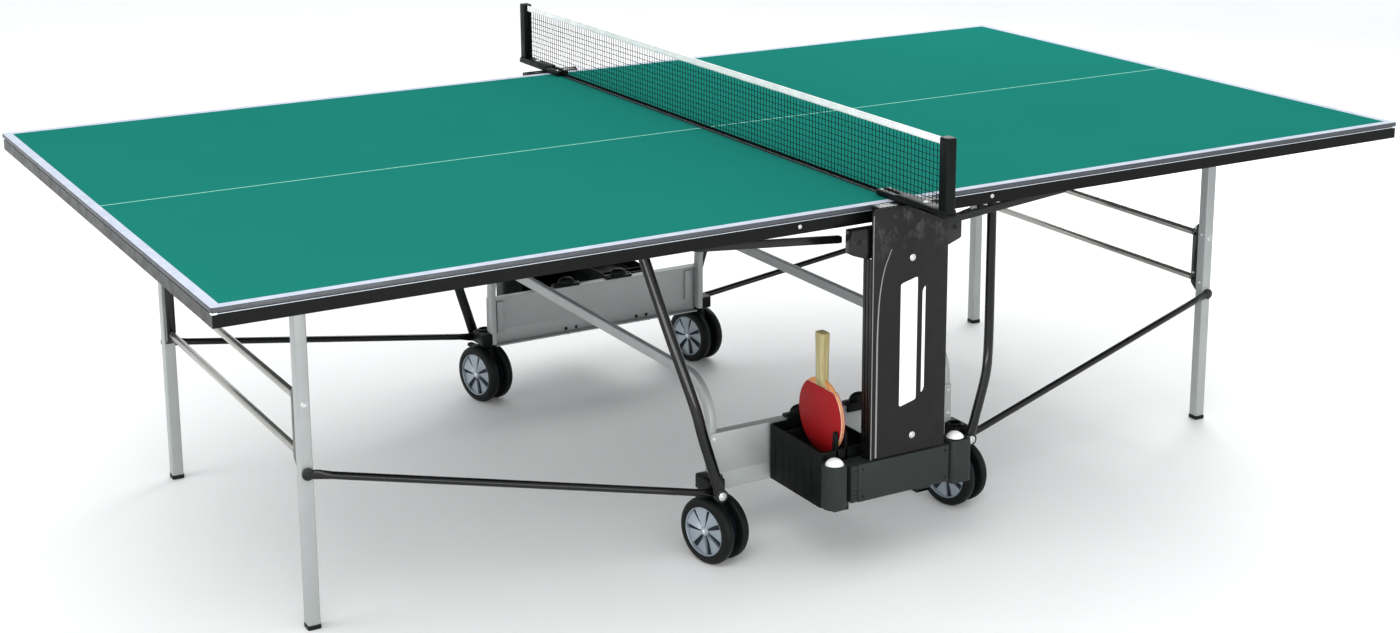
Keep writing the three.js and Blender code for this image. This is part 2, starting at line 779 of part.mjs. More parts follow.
// ---- assembly ----
for (const [end, sx] of ENDS) {
  add("board_" + end, placed(boardGeometry, sx, 1), material(0x23907d, 0.4, 0));
  add("frame_" + end, placed(frameGeometry, sx, 1), BLACK_STEEL());
  add("arch_" + end, placed(archGeometry, sx, 1), SILVER());
  add("rail_upper_" + end, placed(rail(RAIL_UPPER_Z), sx, 1), CHROME());
  add("rail_lower_" + end, placed(rail(RAIL_LOWER_Z), sx, 1), CHROME());
  for (const [side, sy] of SIDES) {
    const spot = end + "_" + side;
    add("lock_bar_" + spot, placed(lockBar, sx, sy), BLACK_STEEL());
    add("lever_" + spot, placed(leverGeometry, sx, sy), BLACK_STEEL());
    add("leg_" + spot, placed(legGeometry, sx, sy), SILVER());
    add("leg_bracket_" + spot, placed(bracketGeometry, sx, sy), BLACK_STEEL());
    add("rod_" + spot, placed(rodGeometry, sx, sy), BLACK_STEEL());
    add("fork_" + spot, placed(swivelled(forkGeometry, sx, sy), sx, sy), BLACK_PLASTIC());
    add("wheel_" + spot, placed(swivelled(wheelGeometry, sx, sy), sx, sy), TYRE());
  }
}
for (const [side, sy] of SIDES) {
  const turn = -sy; // the far side is the near side turned half round
  add("panel_" + side, placed(panelGeometry, 1, sy), SILVER());
  add("rest_left_" + side, placed(restGeometry(-turn * 85), turn, turn), BLACK_PLASTIC());
  add("rest_right_" + side, placed(restGeometry(turn * 62), turn, turn), BLACK_PLASTIC());
  add("column_" + side, placed(columnGeometry, turn, turn), BLACK_STEEL());
  add("cover_" + side, placed(coverGeometry, turn, turn), material(0x262224, 0.5, 0.1));
  add("base_" + side, placed(baseGeometry, turn, turn), material(0x363a39, 0.55, 0));
  add("bat_box_" + side, placed(boxGeometry, turn, turn), BLACK_PLASTIC());
  add("net_post_" + side, placed(postGeometry, turn, turn), BLACK_STEEL());
}
add("net", netGeometry, material(0x202422, 0.8, 0));
add("net_tape", tapeGeometry, material(0xf2f2ee, 0.7, 0));
add("bat", batGeometry, material(0x9d1e23, 0.5, 0));
const ballLook = () => material(0xf4f4f0, 0.35, 0);
const ball = new THREE.SphereGeometry(BALL_RADIUS, 18, 12);
add("ball_left", ball.clone().translate(BASE_LEFT_X, -BASE_POST_Y, ballCentreZ), ballLook());
add("ball_right", ball.clone().translate(BASE_RIGHT_X, -BASE_POST_Y, ballCentreZ), ballLook());

export default table;
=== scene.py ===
import math
import random

import bmesh
import bpy
from mathutils import Matrix, Vector


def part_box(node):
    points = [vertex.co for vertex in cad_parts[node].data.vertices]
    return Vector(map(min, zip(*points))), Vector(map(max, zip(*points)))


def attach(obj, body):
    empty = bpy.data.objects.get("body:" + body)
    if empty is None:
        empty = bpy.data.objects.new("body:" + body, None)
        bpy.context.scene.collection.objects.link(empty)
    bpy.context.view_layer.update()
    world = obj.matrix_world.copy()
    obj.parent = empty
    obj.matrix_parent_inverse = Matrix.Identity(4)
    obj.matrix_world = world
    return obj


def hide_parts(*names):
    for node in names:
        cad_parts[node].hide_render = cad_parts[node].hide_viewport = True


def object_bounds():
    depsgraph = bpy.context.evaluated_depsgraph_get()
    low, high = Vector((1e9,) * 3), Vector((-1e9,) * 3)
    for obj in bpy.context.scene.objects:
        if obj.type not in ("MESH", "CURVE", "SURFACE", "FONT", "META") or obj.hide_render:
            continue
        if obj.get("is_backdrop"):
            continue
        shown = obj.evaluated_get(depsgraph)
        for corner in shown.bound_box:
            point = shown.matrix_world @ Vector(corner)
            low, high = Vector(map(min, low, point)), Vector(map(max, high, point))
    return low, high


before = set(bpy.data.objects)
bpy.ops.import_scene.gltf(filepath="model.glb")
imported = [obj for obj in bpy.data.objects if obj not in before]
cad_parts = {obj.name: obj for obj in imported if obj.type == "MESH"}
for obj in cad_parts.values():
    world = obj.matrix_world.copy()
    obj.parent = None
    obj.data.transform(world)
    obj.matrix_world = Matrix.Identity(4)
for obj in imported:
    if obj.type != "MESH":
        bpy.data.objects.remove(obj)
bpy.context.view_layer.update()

MM = 0.001
ENDS = (("left", -1), ("right", 1))
SIDES = (("near", -1), ("far", 1))
QUARTERS = [(end, side, sx, sy) for end, sx in ENDS for side, sy in SIDES]

# Places that several pieces share, in millimetres, in the far right quarter. Pieces are mirrored from there.
LEG_X, LEG_Y, LEG_HALF = 1115, 440, 12.5
LEG_HINGE_Z, ROD_HEAD_Z = 705, 315
LEVER_FOOT, LEVER_KNEE, LEVER_HEAD = Vector((310, 600, 155)), Vector((355, 600, 310)), Vector((445, 482, 738))
WHEEL = Vector((300, 560, 70))
CASTER_TURN = 15  # degrees between the axles and the table's length
BLOCK_OUTER, BLOCK_TOP = 580, 178  # the caster blocks at the arches' feet


def span(node):
    """The lowest and highest corner of a CAD node, in millimetres."""
    low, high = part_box(node)
    return low / MM, high / MM


# ---- camera ----
YAW, PITCH, ROLL = math.radians(60.031), math.radians(-13.373), math.radians(-0.27)
forward = Vector((math.cos(PITCH) * math.cos(YAW), math.cos(PITCH) * math.sin(YAW), math.sin(PITCH)))
level = Vector((math.sin(YAW), -math.cos(YAW), 0))
right = math.cos(ROLL) * level + math.sin(ROLL) * level.cross(forward)
up = right.cross(forward)
camera_data = bpy.data.cameras.new("camera")
camera_data.sensor_width = 36
camera_data.lens = 54.5683
camera_data.shift_y = -0.111786
camera_data.clip_end = 60
camera = bpy.data.objects.new("camera", camera_data)
bpy.context.scene.collection.objects.link(camera)
turn = Matrix((right, up, -forward)).transposed()
camera.matrix_world = Matrix.Translation((-2.331, -4.029, 1.792)) @ turn.to_4x4()
bpy.context.scene.camera = camera


# ---- materials ----
def linear(red, green, blue):
    """An sRGB colour from 0 to 255 as linear RGBA."""
    share = [c / 255 for c in (red, green, blue)]
    return [c / 12.92 if c <= 0.04045 else ((c + 0.055) / 1.055) ** 2.4 for c in share] + [1]


class Look:
    """A procedural material: a Principled shader with node helpers."""

    def __init__(self, name, metallic=0.0, specular=0.5, coat=0.0, coat_roughness=0.1, sheen=0.0):
        self.material = bpy.data.materials.new(name)
        self.material.use_nodes = True
        self.tree = self.material.node_tree
        self.shader = self.tree.nodes["Principled BSDF"]
        self.shader.inputs["Metallic"].default_value = metallic
        self.shader.inputs["Specular IOR Level"].default_value = specular
        self.shader.inputs["Coat Weight"].default_value = coat
        self.shader.inputs["Coat Roughness"].default_value = coat_roughness
        self.shader.inputs["Sheen Weight"].default_value = sheen
        self.place = self.node("ShaderNodeTexCoord").outputs["Object"]

    def node(self, kind, **values):
        made = self.tree.nodes.new(kind)
        for key, value in values.items():
            setattr(made, key, value)
        return made

    def link(self, source, target):
        self.tree.links.new(source, target)

    def stretched(self, scale):
        mapping = self.node("ShaderNodeMapping")
        mapping.inputs["Scale"].default_value = scale
        self.link(self.place, mapping.inputs["Vector"])
        return mapping.outputs["Vector"]

    def noise(self, scale, detail=3.0, stretch=None, rough=0.5):
        made = self.node("ShaderNodeTexNoise")
        made.inputs["Scale"].default_value = scale
        made.inputs["Detail"].default_value = detail
        made.inputs["Roughness"].default_value = rough
        self.link(self.stretched(stretch) if stretch else self.place, made.inputs["Vector"])
        return made.outputs["Fac"]

    def mapped(self, value, low, high, start=0.35, end=0.65):
        made = self.node("ShaderNodeMapRange")
        self.link(value, made.inputs["Value"])
        made.inputs["From Min"].default_value = start
        made.inputs["From Max"].default_value = end
        made.inputs["To Min"].default_value = low
        made.inputs["To Max"].default_value = high
        return made.outputs["Result"]

    def math(self, operation, a, b=None):
        made = self.node("ShaderNodeMath", operation=operation)
        for socket, value in zip(made.inputs, (a, b)):
            if value is None:
                continue
            if isinstance(value, (int, float)):
                socket.default_value = value
            else:
                self.link(value, socket)
        return made.outputs["Value"]

    def axis(self, name):
        split = self.node("ShaderNodeSeparateXYZ")
        self.link(self.place, split.inputs[0])
        return split.outputs[name]

    def mix(self, share, a, b):
        made = self.node("ShaderNodeMix", data_type="RGBA")
        for socket, value in ((made.inputs[0], share), (made.inputs[6], a), (made.inputs[7], b)):
            if isinstance(value, (int, float, list, tuple)):
                socket.default_value = value
            else:
                self.link(value, socket)
        return made.outputs[2]

    def bump(self, height, distance, strength=1.0, under=None):
        made = self.node("ShaderNodeBump")
        made.inputs["Strength"].default_value = strength
        made.inputs["Distance"].default_value = distance
        self.link(height, made.inputs["Height"])
        if under:
            self.link(under, made.inputs["Normal"])
        return made.outputs["Normal"]

    def finish(self, colour, roughness, normal=None):
        self.link(colour, self.shader.inputs["Base Color"])
        self.link(roughness, self.shader.inputs["Roughness"])
        if normal:
            self.link(normal, self.shader.inputs["Normal"])
        return self.material


def shade(colour, factor):
    return [min(1.0, c * factor) for c in colour[:3]] + [1]


def surface(name, colour, rough, spread=0.06, vary=0.12, blotch=9.0, grain=700.0, bump=0.00006,
            stretch=None, **shader):
    """A painted, plated or moulded surface: cloudy colour, uneven gloss and a fine grain."""
    look = Look(name, **shader)
    cloud = look.noise(blotch, 4.0)
    base = look.mix(look.mapped(cloud, 0.0, 1.0), shade(colour, 1 - vary), shade(colour, 1 + vary))
    fine = look.noise(grain, 2.0, stretch)
    speck = look.mix(look.mapped(fine, 0.0, 0.25), base, shade(colour, 1 + 2 * vary))
    gloss = look.mapped(look.noise(blotch * 4, 3.0), rough - spread, rough + spread)
    return look.finish(speck, gloss, look.bump(fine, bump))


steel_black = surface("steel_black", linear(10, 11, 12), 0.3, bump=0.00002, grain=450, specular=0.15,
                      coat=0.4, coat_roughness=0.05)
apron_black = surface("apron_black", linear(12, 12, 13), 0.28, bump=0.00003, grain=380, specular=0.12)
silver = surface("silver_paint", linear(160, 164, 163), 0.42, vary=0.05, bump=0.00004, grain=900,
                 metallic=0.2)
chrome = surface("chrome", linear(164, 164, 158), 0.2, vary=0.06, bump=0.00001, grain=220,
                 stretch=(1, 0.02, 1), metallic=0.85)
zinc = surface("zinc", linear(214, 216, 216), 0.3, vary=0.08, bump=0.00002, grain=600, metallic=0.6)
plastic = surface("black_plastic", linear(10, 12, 12), 0.42, bump=0.00012, grain=1300, spread=0.08,
                  specular=0.12)
cap_plastic = surface("cap_plastic", linear(10, 10, 11), 0.4, bump=0.00008, grain=1500, specular=0.2)
base_plastic = surface("base_plastic", linear(35, 40, 38), 0.52, vary=0.1, bump=0.00022, grain=800,
                       spread=0.07, specular=0.2)
rubber = surface("tyre_rubber", linear(13, 16, 16), 0.5, vary=0.16, bump=0.0001, grain=900, specular=0.15)
disc_silver = surface("disc_silver", linear(150, 160, 168), 0.34, vary=0.08, bump=0.00003, grain=500,
                      metallic=0.45)
# Dark blue-grey on the hub face that shows between the blades: painted shade in the recessed slots.
recess_shade_dark = surface("recess_shade_dark", linear(26, 34, 44), 0.5, bump=0.00005, specular=0.2)
white_plastic = surface("white_plastic", linear(238, 240, 240), 0.4, vary=0.03, bump=0.00004)
edge_grey = surface("edge_grey", linear(58, 62, 68), 0.4, vary=0.08, bump=0.00004, grain=600)
trim_silver = surface("trim_silver", linear(205, 212, 218), 0.3, vary=0.05, bump=0.00001, metallic=0.5)
# Light grey for the cover's two raised lines: a painted highlight along the ridges.
ridge_highlight_grey = surface("ridge_highlight_grey", linear(130, 130, 130), 0.4, vary=0.06)
ball_white = surface("ball_white", linear(244, 244, 240), 0.38, vary=0.02, bump=0.00002, grain=1200)
print_white = surface("print_white", linear(240, 240, 240), 0.45, vary=0.02, bump=0.00001)
red_rubber = surface("red_rubber", linear(150, 20, 24), 0.5, vary=0.06, bump=0.00008, grain=1400,
                     specular=0.15)
cloth_black = surface("cloth_black", linear(7, 8, 8), 0.85, vary=0.2, bump=0.0002, grain=1500, specular=0.05)


def playing_paint():
    """Green paint with a white line along the outer edges and a thin one down the middle."""
    look = Look("playing_paint", specular=0.0)
    high = span("board_right")[1]
    x = look.math("ABSOLUTE", look.axis("X"))
    y = look.math("ABSOLUTE", look.axis("Y"))
    edge = 20 * MM
    ends = look.math("GREATER_THAN", x, high.x * MM - edge)
    sides = look.math("GREATER_THAN", y, high.y * MM - edge)
    middle = look.math("LESS_THAN", y, 1.5 * MM)
    border = look.math("MAXIMUM", ends, sides)
    green = linear(29, 120, 108)
    cloud = look.noise(3.0, 5.0)
    base = look.mix(look.mapped(cloud, 0, 1), shade(green, 0.985), shade(green, 1.015))
    speck = look.noise(1600, 2.0)
    base = look.mix(look.mapped(speck, 0.0, 0.16, 0.5, 0.75), base, shade(green, 1.12))
    lined = look.mix(middle, base, linear(176, 236, 218))
    white = look.mix(look.mapped(look.noise(40, 4.0), 0, 1), linear(190, 197, 212), linear(202, 208, 221))
    lined = look.mix(border, lined, white)
    gloss = look.mapped(look.noise(22, 4.0), 0.42, 0.54)
    paint_step = look.bump(look.math("MAXIMUM", border, middle), 0.00008)
    return look.finish(lined, gloss, look.bump(speck, 0.00005, under=paint_step))


def cover_skin():
    """Brown-black satin moulding with a worn grey patch near its upper corner."""
    look = Look("cover_skin", specular=0.2)
    top = span("cover_near")[1].z
    tone = linear(23, 20, 21)
    z = look.axis("Z")
    along = look.mapped(z, 0.0, 1.0, (top - 110) * MM, (top - 40) * MM)
    texture = look.mapped(look.noise(48, 6.0, (1, 1, 0.7), 0.65), 0.0, 0.5, 0.5, 0.72)
    patch = look.math("MULTIPLY", along, texture)
    cloud = look.noise(11, 4.0)
    base = look.mix(look.mapped(cloud, 0, 1), shade(tone, 0.88), shade(tone, 1.14))
    base = look.mix(patch, base, linear(104, 100, 102))
    fine = look.noise(1200, 2.0)
    gloss = look.mapped(look.noise(30, 3.0), 0.4, 0.54)
    return look.finish(base, gloss, look.bump(fine, 0.0001))


def wood(name, tone, streak, length_axis, scale=160.0):
    """Plain wood: long fibres along one axis and a few darker lines."""
    look = Look(name)
    stretch = [1.0, 1.0, 1.0]
    stretch["XYZ".index(length_axis)] = 0.04
    fibre = look.noise(scale, 6.0, stretch, 0.6)
    broad = look.noise(scale / 4, 2.0, stretch)
    base = look.mix(look.mapped(fibre, 0, 1), tone, streak)
    base = look.mix(look.mapped(broad, 0, 0.55, 0.5, 0.7), base, shade(streak, 0.8))
    return look.finish(base, look.mapped(fibre, 0.5, 0.62), look.bump(fibre, 0.00012))


def tape_cloth():
    """White tape with a fine weave and a stitched line along each edge."""
    look = Look("tape_cloth", sheen=0.3)
    low, high = span("net_tape")
    weave = look.node("ShaderNodeTexWave", wave_type="BANDS", bands_direction="Y")
    weave.inputs["Scale"].default_value = 260
    look.link(look.place, weave.inputs["Vector"])
    across = look.node("ShaderNodeTexWave", wave_type="BANDS", bands_direction="Z")
    across.inputs["Scale"].default_value = 260
    look.link(look.place, across.inputs["Vector"])
    cloth = look.math("MULTIPLY", weave.outputs["Fac"], across.outputs["Fac"])
    base = look.mix(look.mapped(look.noise(25, 4.0), 0, 1), linear(228, 230, 228), linear(246, 247, 246))
    middle = (low.z + high.z) / 2 * MM
    off = look.math("ABSOLUTE", look.math("SUBTRACT", look.axis("Z"), middle))
    line = look.math("LESS_THAN", look.math("ABSOLUTE", look.math("SUBTRACT", off, 0.0052)), 0.0004)
    dash = look.math("GREATER_THAN", look.math("FRACT", look.math("MULTIPLY", look.axis("Y"), 250)), 0.35)
    stitch = look.math("MULTIPLY", line, dash)
    base = look.mix(stitch, base, linear(160, 164, 160))
    cloth = look.math("SUBTRACT", cloth, look.math("MULTIPLY", stitch, 0.8))
    return look.finish(base, look.mapped(look.noise(90, 3.0), 0.75, 0.9), look.bump(cloth, 0.0002))


playing_green = playing_paint()
cover_black = cover_skin()
handle_wood = wood("handle_wood", linear(188, 178, 132), linear(150, 136, 88), "Z")
blade_wood = wood("blade_wood", linear(226, 160, 96), linear(200, 130, 70), "Z", 220)
tape_white = tape_cloth()


# ---- mesh building, in millimetres ----
def angles(count):
    """Equal steps once round, in radians."""
    return [2 * math.pi * i / count for i in range(count)]


class Shape:
    """A mesh under construction. Every method adds one closed body with a material index."""

    def __init__(self):
        self.bm = bmesh.new()

    def loft(self, rings, mat=0, caps=True, closed=False):
        """Skins rings of equal point counts, in order."""
        rows = [[self.bm.verts.new(p) for p in ring] for ring in rings]
        pairs = list(zip(rows, rows[1:])) + ([(rows[-1], rows[0])] if closed else [])
        count = len(rows[0])
        for a, b in pairs:
            for i in range(count):
                j = (i + 1) % count
                self.bm.faces.new((a[i], a[j], b[j], b[i])).material_index = mat
        if caps and not closed:
            self.bm.faces.new(list(reversed(rows[0]))).material_index = mat
            self.bm.faces.new(rows[-1]).material_index = mat

    def prism(self, outline, low, high, axis, mat=0, edge=0.0):
        """A flat outline extruded along an axis; the edge of both ends is rounded by edge."""
        put = {
            "X": lambda p, t: (t, p[0], p[1]),
            "Y": lambda p, t: (p[0], t, p[1]),
            "Z": lambda p, t: (p[0], p[1], t),
        }[axis]
        if edge:
            steps = [(edge, 0.0), (edge * 0.3, edge * 0.3), (0.0, edge)]
            levels = [(inset, low + rise) for inset, rise in steps]
            levels += [(inset, high - rise) for inset, rise in reversed(steps)]
        else:
            levels = [(0.0, low), (0.0, high)]
        rings = [[put(p, t) for p in shrunk(outline, inset)] for inset, t in levels]
        self.loft(rings, mat)

    def box(self, x0, x1, y0, y1, z0, z1, mat=0, edge=1.0, corner=None):
        """A block with rounded corners: corner is their radius in plan, edge that of its ends."""
        radius = edge if corner is None else corner
        self.prism(rounded(x0, x1, y0, y1, radius), z0, z1, "Z", mat, edge)

    def bar(self, a, b, radius, mat=0, sides=24, edge=0.6):
        """A round bar from a to b with rounded ends."""
        a, b = Vector(a), Vector(b)
        direction = (b - a).normalized()
        u = direction.orthogonal().normalized()
        v = direction.cross(u)
        length = (b - a).length
        rings = []
        stops = [(0, radius - edge), (edge * 0.3, radius - edge * 0.3), (edge, radius)]
        stops += [(length - inset, r) for inset, r in reversed(stops)]
        for along, r in stops:
            middle = a + direction * along
            rings.append([middle + (u * math.cos(t) + v * math.sin(t)) * r for t in angles(sides)])
        self.loft(rings, mat)

    def lathe(self, profile, centre, axis="Y", mat=0, sides=64):
        """A closed profile of (radius, offset) turned about an axis through centre."""
        centre = Vector(centre)
        rings = []
        for t in angles(sides):
            c, s = math.cos(t), math.sin(t)
            put = {
                "X": lambda r, o: Vector((o, r * c, r * s)),
                "Y": lambda r, o: Vector((r * c, o, r * s)),
                "Z": lambda r, o: Vector((r * c, r * s, o)),
            }[axis]
            rings.append([centre + put(r, o) for r, o in profile])
        self.loft(rings, mat, closed=True)

    def sweep(self, path, sections, mat=0, side=Vector((0, 1, 0))):
        """Skins sections of (sideways, deep) points set square to a path."""
        rings = []
        for i, point in enumerate(path):
            ahead = (path[min(i + 1, len(path) - 1)] - path[max(i - 1, 0)]).normalized()
            across = (side - ahead * side.dot(ahead)).normalized()
            deep = ahead.cross(across)
            section = sections[i] if isinstance(sections[0][0], (list, tuple)) else sections
            rings.append([point + across * p[0] + deep * p[1] for p in section])
        self.loft(rings, mat)

    def bolt(self, centre, normal, radius=4.5, mat=0, washer=True):
        """A round-headed bolt with a hex socket, standing on a surface, on a washer."""
        centre, normal = Vector(centre), Vector(normal).normalized()
        u = normal.orthogonal().normalized()
        v = normal.cross(u)

        def ring(r, h, six=False):
            points = []
            for t in angles(24):
                k = t % (math.pi / 3) - math.pi / 6
                reach = r / math.cos(k) if six else r
                points.append(centre + (u * math.cos(t) + v * math.sin(t)) * reach + normal * h)
            return points

        if washer:
            self.loft([ring(radius * 1.3, -0.5), ring(radius * 1.3, 0.5), ring(radius * 1.2, 0.8)], mat)
        rise = radius * 0.5
        rings = [ring(radius, 0.2), ring(radius, 1.0)]
        for t in map(math.radians, (30, 55, 72)):
            rings.append(ring(radius * math.cos(t) * 0.98, 1.0 + rise * math.sin(t)))
        inner = radius * 0.42
        top = 1.0 + rise * 0.97
        rings[-1] = ring(inner * 1.25, top)
        rings.append(ring(inner, top - 0.1, True))
        rings.append(ring(inner, top - rise * 0.8, True))
        self.loft(rings, mat)

    def turn(self, degrees, centre):
        """Turns everything made so far about an upright axis through centre."""
        spin = Matrix.Rotation(math.radians(degrees), 3, "Z")
        bmesh.ops.rotate(self.bm, verts=self.bm.verts, cent=centre, matrix=spin)

    def done(self, name, body, materials, replaces=(), mirror=(1, 1), angle=32):
        """Ends the shape as a piece that rides on a body, drawn in one quarter and mirrored."""
        sx, sy = mirror
        for vert in self.bm.verts:
            vert.co = Vector((vert.co.x * sx, vert.co.y * sy, vert.co.z)) * MM
        bmesh.ops.recalc_face_normals(self.bm, faces=self.bm.faces)
        mesh = bpy.data.meshes.new(name)
        self.bm.to_mesh(mesh)
        self.bm.free()
        mesh.shade_smooth()
        mesh.set_sharp_from_angle(angle=math.radians(angle))
        for entry in materials:
            mesh.materials.append(entry)
        piece = bpy.data.objects.new(name, mesh)
        bpy.context.scene.collection.objects.link(piece)
        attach(piece, body)
        if replaces:
            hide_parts(*replaces)
        return piece


def rounded(x0, x1, y0, y1, radius, steps=4):
    """A rectangle with rounded corners, anticlockwise."""
    radius = min(radius, (x1 - x0) / 2 - 0.01, (y1 - y0) / 2 - 0.01)
    if radius <= 0.05:
        return [(x0, y0), (x1, y0), (x1, y1), (x0, y1)]
    corners = [(x1 - radius, y0 + radius, -90), (x1 - radius, y1 - radius, 0),
               (x0 + radius, y1 - radius, 90), (x0 + radius, y0 + radius, 180)]
    points = []
    for cx, cy, start in corners:
        for i in range(steps + 1):
            t = math.radians(start + 90 * i / steps)
            points.append((cx + radius * math.cos(t), cy + radius * math.sin(t)))
    return points


def filleted(corners, radius, steps=4):
    """A polygon whose corners are rounded by up to radius."""
    points = []
    count = len(corners)
    for i in range(count):
        here = Vector(corners[i])
        back = Vector(corners[i - 1]) - here
        ahead = Vector(corners[(i + 1) % count]) - here
        reach = min(radius, back.length * 0.45, ahead.length * 0.45)
        a, b = here + back.normalized() * reach, here + ahead.normalized() * reach
        for k in range(steps + 1):
            t = k / steps
            points.append(tuple(a * (1 - t) ** 2 + here * 2 * t * (1 - t) + b * t * t))
    return points


def shrunk(outline, inset):
    """An outline moved inwards by inset, whichever way round it runs."""
    if not inset:
        return outline
    count = len(outline)
    area = sum(outline[i][0] * outline[(i + 1) % count][1] - outline[(i + 1) % count][0] * outline[i][1]
               for i in range(count))
    sign = 1 if area > 0 else -1
    points = []
    for i in range(count):
        before, here, after = Vector(outline[i - 1]), Vector(outline[i]), Vector(outline[(i + 1) % count])
        a, b = (here - before), (after - here)
        a = a.normalized() if a.length > 1e-6 else b.normalized()
        b = b.normalized() if b.length > 1e-6 else a
        n1, n2 = Vector((-a.y, a.x)), Vector((-b.y, b.x))
        middle = n1 + n2
        middle = middle.normalized() if middle.length > 1e-6 else n1
        reach = min(2.0, 1 / max(0.3, middle.dot(n1)))
        points.append(tuple(here + middle * inset * sign * reach))
    return points


def oval(a, b, sides=28):
    return [(a * math.cos(t), b * math.sin(t)) for t in angles(sides)]


def smooth_path(points, steps):
    """A centripetal Catmull-Rom curve through points, evenly sampled."""
    p = [Vector(q) for q in points]
    p = [p[0] * 2 - p[1]] + p + [p[-1] * 2 - p[-2]]
    fine = []
    for i in range(1, len(p) - 2):
        t = [0.0]
        for a, b in ((p[i - 1], p[i]), (p[i], p[i + 1]), (p[i + 1], p[i + 2])):
            t.append(t[-1] + (b - a).length ** 0.5)
        for k in range(24):
            s = t[1] + (t[2] - t[1]) * k / 24
            a1 = p[i - 1] * ((t[1] - s) / (t[1] - t[0])) + p[i] * ((s - t[0]) / (t[1] - t[0]))
            a2 = p[i] * ((t[2] - s) / (t[2] - t[1])) + p[i + 1] * ((s - t[1]) / (t[2] - t[1]))
            a3 = p[i + 1] * ((t[3] - s) / (t[3] - t[2])) + p[i + 2] * ((s - t[2]) / (t[3] - t[2]))
            b1 = a1 * ((t[2] - s) / (t[2] - t[0])) + a2 * ((s - t[0]) / (t[2] - t[0]))
            b2 = a2 * ((t[3] - s) / (t[3] - t[1])) + a3 * ((s - t[1]) / (t[3] - t[1]))
            fine.append(b1 * ((t[2] - s) / (t[2] - t[1])) + b2 * ((s - t[1]) / (t[2] - t[1])))
    fine.append(p[-2])
    lengths = [0.0]
    for a, b in zip(fine, fine[1:]):
        lengths.append(lengths[-1] + (b - a).length)
    path, k = [], 0
    for i in range(steps + 1):
        goal = lengths[-1] * i / steps
        while k < len(lengths) - 2 and lengths[k + 1] < goal:
            k += 1
        share = (goal - lengths[k]) / max(1e-9, lengths[k + 1] - lengths[k])
        path.append(fine[k].lerp(fine[k + 1], min(1.0, share)))
    return path


# ---- boards ----
board_low, board_high = span("board_right")
CORNER = 6
for end, sx in ENDS:
    shape = Shape()
    outline = [(board_low.x, board_low.y)]
    for y, start in ((board_low.y + CORNER, -90), (board_high.y - CORNER, 0)):
        for i in range(7):
            t = math.radians(start + 15 * i)
            outline.append((board_high.x - CORNER + CORNER * math.cos(t), y + CORNER * math.sin(t)))
    outline.append((board_low.x, board_high.y))
    levels = [(1.2, board_low.z), (0, board_low.z + 1.2), (0, board_high.z - 0.9), (0.25, board_high.z - 0.3),
              (0.9, board_high.z)]
    shape.loft([[(x, y, z) for x, y in shrunk(outline, inset)] for inset, z in levels], 1)
    shape.bm.faces.ensure_lookup_table()
    for face in shape.bm.faces:
        if len(face.verts) > 4 and face.calc_center_median().z > (board_low.z + board_high.z) / 2:
            face.material_index = 0
    shape.done("playing_board_" + end, "half_" + end, [playing_green, edge_grey],
               ["board_" + end], (sx, 1))

# ---- apron frames ----
frame_low, frame_high = span("frame_right")
WALL, RIM_DEPTH = 14, 26.7  # the apron's width and height
for end, sx in ENDS:
    shape = Shape()
    x0, x1, y1 = frame_low.x, frame_high.x, frame_high.y
    top = frame_high.z
    z0 = top - RIM_DEPTH
    profile = [(0, z0), (0, top - 3.2), (-1.2, top - 2.4), (-1.2, top - 1.6), (0, top - 1.0), (0, top),
               (-WALL, top), (-WALL, top - 2), (-2.2, top - 2.6), (-2.2, z0 + 2.2), (-WALL, z0 + 2.2),
               (-WALL, z0)]
    corners = [(x0, -y1, -1, -1), (x1, -y1, 1, -1), (x1, y1, 1, 1), (x0, y1, -1, 1)]
    rings = []
    for cx, cy, ax, ay in corners:
        rings.append([(cx + ax * off, cy + ay * off, z) for off, z in profile])
    shape.loft(rings, 0, closed=True)
    for b0, b1 in ((470, 484), (1120, 1134)):
        shape.box(b0, b1, -y1 + WALL - 6, y1 - WALL + 6, z0, top, 0, 1.0)
    lever_ear = filleted([(436, 725), (471, 725), (471, 749), (436, 749)], 8)
    leg_ear = filleted([(1103, 709), (1107, 693), (1123, 693), (1133, 716), (1133, 749), (1121, 749),
                        (1121, 722)], 5)
    for sy in (-1, 1):
        for ear, x, y, z, apart, reach, radius in (
            (lever_ear, LEVER_HEAD.x, sy * LEVER_HEAD.y, LEVER_HEAD.z, 10.7, 14.7, 4),
            (leg_ear, LEG_X, sy * LEG_Y, LEG_HINGE_Z, 15, 18.5, 5),
        ):
            for middle in (y - apart, y + apart):
                shape.prism(ear, middle - 2, middle + 2, "Y", 0, 0.5)
            shape.bar((x, y - reach, z), (x, y + reach, z), radius, 2, 20, 0.8)
        shape.bar((x0 + 1, sy * (y1 + 0.4), top - 1.9), (x1 - 4, sy * (y1 + 0.4), top - 1.9), 0.9, 1, 8, 0.2)
        shape.bolt((228, sy * y1, 738), (0, sy, 0), 3.2, 3)
        y = sy * (y1 - 4)
        shape.box(x1 - 10, x1 + 1.5, y - 5.5, y + 5.5, top - 3.6, top - 0.2, 4, 0.8, 3)
    shape.done("apron_frame_" + end, "half_" + end,
               [apron_black, trim_silver, steel_black, zinc, white_plastic],
               ["frame_" + end], (sx, 1))

# ---- lock bars ----
for end, side, sx, sy in QUARTERS:
    shape = Shape()
    outline = filleted([(112, 682), (112, 697), (424, 725), (424, 746), (452, 746), (452, 716),
                        (436, 711)], 5)
    shape.prism(outline, 722, 732, "Y", 0, 1.2)
    shape.bolt((438, 732, 731), (0, 1, 0), 4.5, 1)
    shape.bolt((438, 722, 731), (0, -1, 0), 4.5, 1)
    shape.done(f"lock_bar_{end}_{side}_steel", "half_" + end, [steel_black, zinc],
               [f"lock_bar_{end}_{side}"], (sx, sy))

